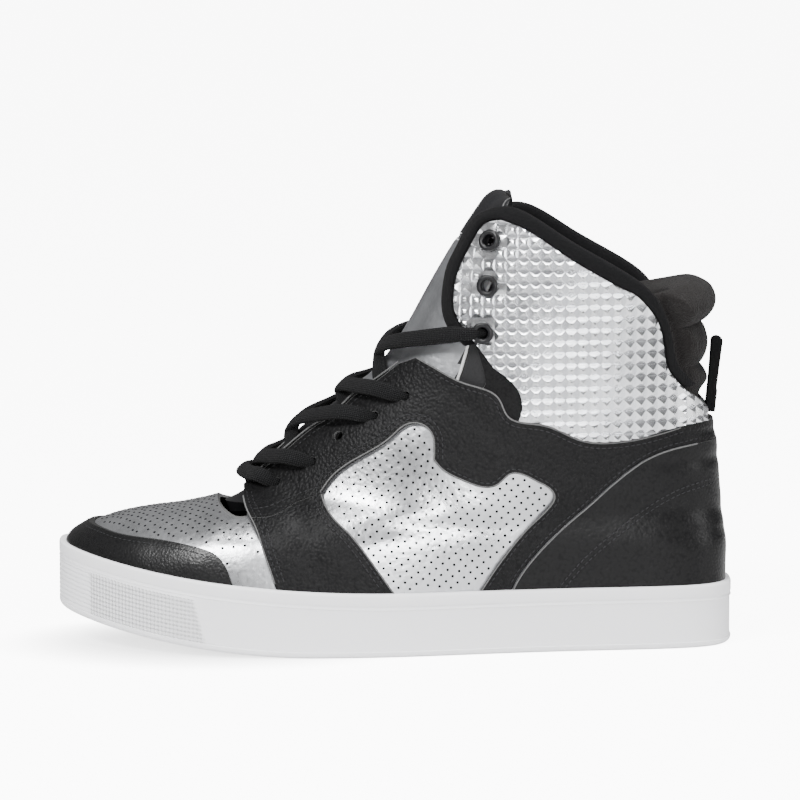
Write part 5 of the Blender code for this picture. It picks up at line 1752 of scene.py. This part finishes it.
@dataclass
class Laces:
    """One flat braided lace, run through the punched holes up to the lowest eyelets."""

    sizes: Sizes = SIZES
    steps: int = 72
    turns: int = 14
    tucked_share: float = 0.42
    tucked_rise: float = 0.015
    over_lift: float = 0.9

    def ribbon(self, path: np.ndarray, ups: np.ndarray, widths: np.ndarray,
               thick: np.ndarray) -> tuple[np.ndarray, list[tuple[int, ...]], np.ndarray]:
        """Flat rounded ribbon along a path.

        Args:
            path: middle of each section.
            ups: direction out of the ribbon's face at each section.
            widths: width of each section.
            thick: thickness of each section.

        Returns:
            Points, faces and map places.
        """
        count = len(path)
        along = np.gradient(path, axis=0)
        along /= np.linalg.norm(along, axis=1, keepdims=True)
        across = np.cross(along, ups)
        across /= np.linalg.norm(across, axis=1, keepdims=True)
        up = np.cross(across, along)
        turn = np.linspace(0, 2 * math.pi, self.turns, endpoint=False)
        u = squarer(np.cos(turn), 0.8)
        v = squarer(np.sin(turn), 0.9)
        points = (path[:, None] + across[:, None] * (u[None, :, None] * widths[:, None, None] / 2)
                  + up[:, None] * (v[None, :, None] * thick[:, None, None] / 2)).reshape(-1, 3)
        faces = tube(0, count - 1, self.turns)
        faces += [tuple(range(self.turns)), tuple(range((count - 1) * self.turns, count * self.turns))[::-1]]
        lengths = run_lengths(path)
        uvs = np.stack([np.repeat(lengths, self.turns),
                        np.tile(u, count) * np.repeat(widths, self.turns) / 2], axis=1)
        return points, faces, uvs

    def strand(self, start: tuple[float, float], end: tuple[float, float], keys: Sequence[tuple[float, ...]],
               twist: float = 0.0) -> tuple[np.ndarray, list[tuple[int, ...]], np.ndarray]:
        """Strand from one hole or edge to another.

        Args:
            start: angle and rise of its first end.
            end: angle and rise of its last end.
            keys: rows of share along it, lift in millimetres and width as a share.
            twist: lean of the ribbon's face.

        Returns:
            Points, faces and map places.
        """
        share = np.linspace(0, 1, self.steps)
        table = np.array(keys)
        lifts = spline(table[:, 0], table[:, 1:2], share)[:, 0] * MM
        slim = np.interp(share, table[:, 0], table[:, 2])
        angles = start[0] + (end[0] - start[0]) * share
        rises = start[1] + (end[1] - start[1]) * share + 0.004 * np.sin(share * math.pi)
        path = FORM.points(angles, rises, lifts, worn=False)
        ups = FORM.normals(angles, rises)
        ups = ups + twist * np.sin(share * math.pi)[:, None] * np.array([[-1.0, 0.0, 0.4]])
        widths = self.sizes.lace_width * slim
        thick = self.sizes.lace_thick * (1.0 + 0.7 * (1 - slim))
        return self.ribbon(path, ups, widths, thick)

    def build(self) -> bpy.types.Object:
        """Lay every strand and join them."""
        size = self.sizes
        over = size.gap + size.panel + size.lace_thick / 2
        holes = {side: list(zip(*FORM.from_side(scaled([PUNCHED_HOLES[i] for i in LACED_HOLES]), side)))
                 for side in Side}
        tops = {side: tuple(v[0] for v in FORM.from_side(scaled(EYELETS[:1]), side)) for side in Side}
        over_mm = over / MM
        bar = [(0, -2.5, 0.55), (0.06, over_mm, 0.95), (0.2, over_mm + 1.6, 1), (0.5, over_mm + 1.4, 1),
               (0.8, over_mm + 1.6, 1), (0.94, over_mm, 0.95), (1, -2.5, 0.55)]
        cross = [(0, -1.2, 1), (0.2, 0.2, 1), (0.5, over_mm + 0.6, 1), (0.75, over_mm + 2.0, 1),
                 (0.93, over_mm + 0.6, 0.95), (1, -2.5, 0.55)]
        parts = [self.strand(holes[Side.LATERAL][0], holes[Side.MEDIAL][0], bar)]
        for level in range(len(LACED_HOLES)):
            for near, far in ((Side.LATERAL, Side.MEDIAL), (Side.MEDIAL, Side.LATERAL)):
                last = level == len(LACED_HOLES) - 1
                end = tops[near] if last else holes[near][level + 1]
                start = holes[far][level]
                inward = (math.pi - start[0]) * self.tucked_share
                begin = (start[0] + inward, start[1] + self.tucked_rise)
                raised = self.over_lift if near is Side.LATERAL else 0.0
                keys = [(k, lift + raised * (0.15 < k < 0.85), w) for k, lift, w in cross]
                if last:
                    keys = [(0, -1.2, 1), (0.22, 1.0, 1), (0.4, 4.0, 1), (0.6, 3.6, 1), (0.85, 3.6, 1),
                            (0.95, 3.0, 0.75), (1, -2.0, 0.5)]
                parts.append(self.strand(begin, end, keys, 0.25 if near is Side.LATERAL else -0.1))
        points, faces, uvs, start = [], [], [], 0
        for p, f, m in parts:
            points.append(p)
            faces += [tuple(start + q for q in face) for face in f]
            uvs.append(m)
            start += len(p)
        body = SHOP.mesh("lace", np.concatenate(points), faces, [Finish.LACE], None, np.concatenate(uvs))
        return SHOP.deliver(body, "braided_lace", Finish.LACE, ["laces"], 60)


@dataclass
class PullLoop:
    """Doubled webbing that stands off the collar at the heel."""

    sizes: Sizes = SIZES
    width: float = 11 * MM
    web: float = 1.7 * MM
    outer_foot: float = 130.2 * MM
    outer_lean: float = 3.4 * MM
    inner_foot: float = 126.4 * MM
    inner_lean: float = 2.4 * MM
    bow: float = 0.3 * MM
    top: float = 0.675
    foot: float = 0.506

    def build(self) -> bpy.types.Object:
        """Fold the web over its top and let it lean."""
        size = self.sizes
        foot, top = self.foot * size.height, (self.top - 0.006) * size.height
        keys_z = np.linspace(0, 1, 40)
        outer_x = self.outer_foot + self.outer_lean * keys_z ** 1.1
        inner_x = self.inner_foot + self.inner_lean * keys_z ** 1.1 + self.bow * np.sin(keys_z * math.pi)
        z = foot + (top - foot - self.web) * keys_z
        turn = np.linspace(0, math.pi, 16)[1:-1]
        middle, radius = (outer_x[-1] + inner_x[-1]) / 2, (outer_x[-1] - inner_x[-1]) / 2
        fold = np.stack([middle + radius * np.cos(turn), z[-1] + self.web * np.sin(turn)], axis=1)
        section = np.concatenate([np.stack([outer_x, z], axis=1), fold, np.stack([inner_x, z], axis=1)[::-1]])
        lengths = run_lengths(section)
        points, uvs = [], []
        columns = 13
        for j in range(columns):
            y = self.width * (j / (columns - 1) - 0.5)
            tuck = 0.25 * MM * (abs(j / (columns - 1) - 0.5) * 2) ** 6
            for (x, height), along in zip(section, lengths):
                side = 1 if x > middle else -1
                points.append((x - side * tuck, y, height))
                uvs.append((along, y))
        count = len(section)
        faces = tube(0, columns - 1, count)
        faces += [tuple(range(count)), tuple(range((columns - 1) * count, columns * count))[::-1]]
        body = SHOP.mesh("loop", np.array(points), faces, [Finish.WEBBING], None, np.array(uvs))
        return SHOP.deliver(body, "webbing_loop", Finish.WEBBING, ["pull_loop"], 50)


@dataclass
class Studio:
    """Pale floor, soft lights and the photograph's camera."""

    distance: float = 2.4
    elevation: float = 7.0
    frame_width: float = 800 * 0.408 * MM
    target: tuple[float, float, float] = (2.2 * MM, 0.0, 98.2 * MM)
    white: float = 9.0
    room: float = 0.16
    reach: float = 6.0
    shadow_middle: tuple[float, float] = (-75 * MM, -12 * MM)
    shadow_half: tuple[float, float] = (95 * MM, 75 * MM)
    # Name, place, width with height, and power in watts.
    lamps: tuple[tuple, ...] = (
        ("key", (-0.7, -1.0, 1.1), (0.6, 0.4), 30), ("front", (0.45, -1.8, 0.45), (0.6, 0.3), 20),
        ("top", (0.1, -0.1, 1.4), (1.0, 0.4), 24), ("heel", (1.3, -0.3, 0.5), (0.3, 0.8), 7))

    def floor(self) -> None:
        """Wide pale floor that meets the white background."""
        mesh = bpy.data.meshes.new("floor")
        corners = ((-1, -1), (1, -1), (1, 1), (-1, 1))
        mesh.from_pydata([(x * self.reach, y * self.reach, 0) for x, y in corners], [], [(0, 1, 2, 3)])
        floor = put("floor", mesh)
        shade = Shade("floor_white")
        seen = shade.node("ShaderNodeLightPath").outputs["Is Camera Ray"]
        x, y, _ = shade.split(shade.place())
        across = (x - self.shadow_middle[0]) * (1 / self.shadow_half[0])
        deep = (y - self.shadow_middle[1]) * (1 / self.shadow_half[1])
        shadow = 1 - (across * across + deep * deep).step(0.1, 1.0)
        glow = shade.blend(Tone(shade, seen) * (1 - shadow * 0.75), (0.0, 0.0, 0.0), (1.0, 1.0, 1.0))
        shade.set(base_color=(0.8, 0.8, 0.8), roughness=0.9, specular_ior_level=0.05, emission_color=glow,
                  emission_strength=self.white)
        mesh.materials.append(shade.material)

    def light(self, name: str, place: tuple[float, float, float], size: tuple[float, float], power: float,
              aim: tuple[float, float, float] = (0.0, 0.0, 0.09)) -> None:
        """One rectangular soft light aimed at the shoe."""
        lamp = bpy.data.lights.new(name, "AREA")
        lamp.shape = "RECTANGLE"
        lamp.size, lamp.size_y = size
        lamp.energy = power
        holder = put(name, lamp)
        holder.location = place
        holder.rotation_euler = (Vector(aim) - Vector(place)).to_track_quat("-Z", "Y").to_euler()

    def build(self) -> None:
        """Set the world, the lights and the camera."""
        self.floor()
        world = bpy.data.worlds.new("studio_white")
        world.use_nodes = True
        tree = world.node_tree
        back = tree.nodes["Background"]
        back.inputs[0].default_value = (1.0, 1.0, 1.0, 1)
        seen = tree.nodes.new("ShaderNodeLightPath")
        power = tree.nodes.new("ShaderNodeMapRange")
        power.inputs["To Min"].default_value = self.room
        power.inputs["To Max"].default_value = self.white
        tree.links.new(seen.outputs["Is Camera Ray"], power.inputs["Value"])
        tree.links.new(power.outputs[0], back.inputs[1])
        bpy.context.scene.world = world
        for lamp in self.lamps:
            self.light(*lamp)
        camera = bpy.data.cameras.new("camera")
        camera.sensor_width = 36
        camera.lens = 36 * self.distance / self.frame_width
        camera.clip_end = 50
        holder = put("camera", camera)
        tilt = math.radians(self.elevation)
        aim = Vector(self.target)
        holder.location = aim + Vector((0, -math.cos(tilt), math.sin(tilt))) * self.distance
        holder.rotation_euler = (aim - holder.location).to_track_quat("-Z", "Y").to_euler()
        bpy.context.scene.camera = holder


def main() -> None:
    """Build the shoe, its trim and the studio."""
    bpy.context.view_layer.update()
    panels = Panels()
    Sole().build()
    Footbed().build()
    Upper().build()
    panels.build()
    thread = Thread()
    panels.seams(thread)
    Perforations().build(panels)
    Wings().build()
    Collar().build()
    Tongue().build(thread)
    Laces().build()
    PullLoop().build()
    Studio().build()


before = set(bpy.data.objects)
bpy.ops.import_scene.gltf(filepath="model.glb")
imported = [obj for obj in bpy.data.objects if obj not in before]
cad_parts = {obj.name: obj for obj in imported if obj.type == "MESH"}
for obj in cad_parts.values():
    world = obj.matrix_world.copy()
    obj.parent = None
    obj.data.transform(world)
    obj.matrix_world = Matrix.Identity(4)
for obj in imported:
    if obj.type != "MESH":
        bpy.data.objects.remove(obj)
if __name__ == "__main__":
    main()
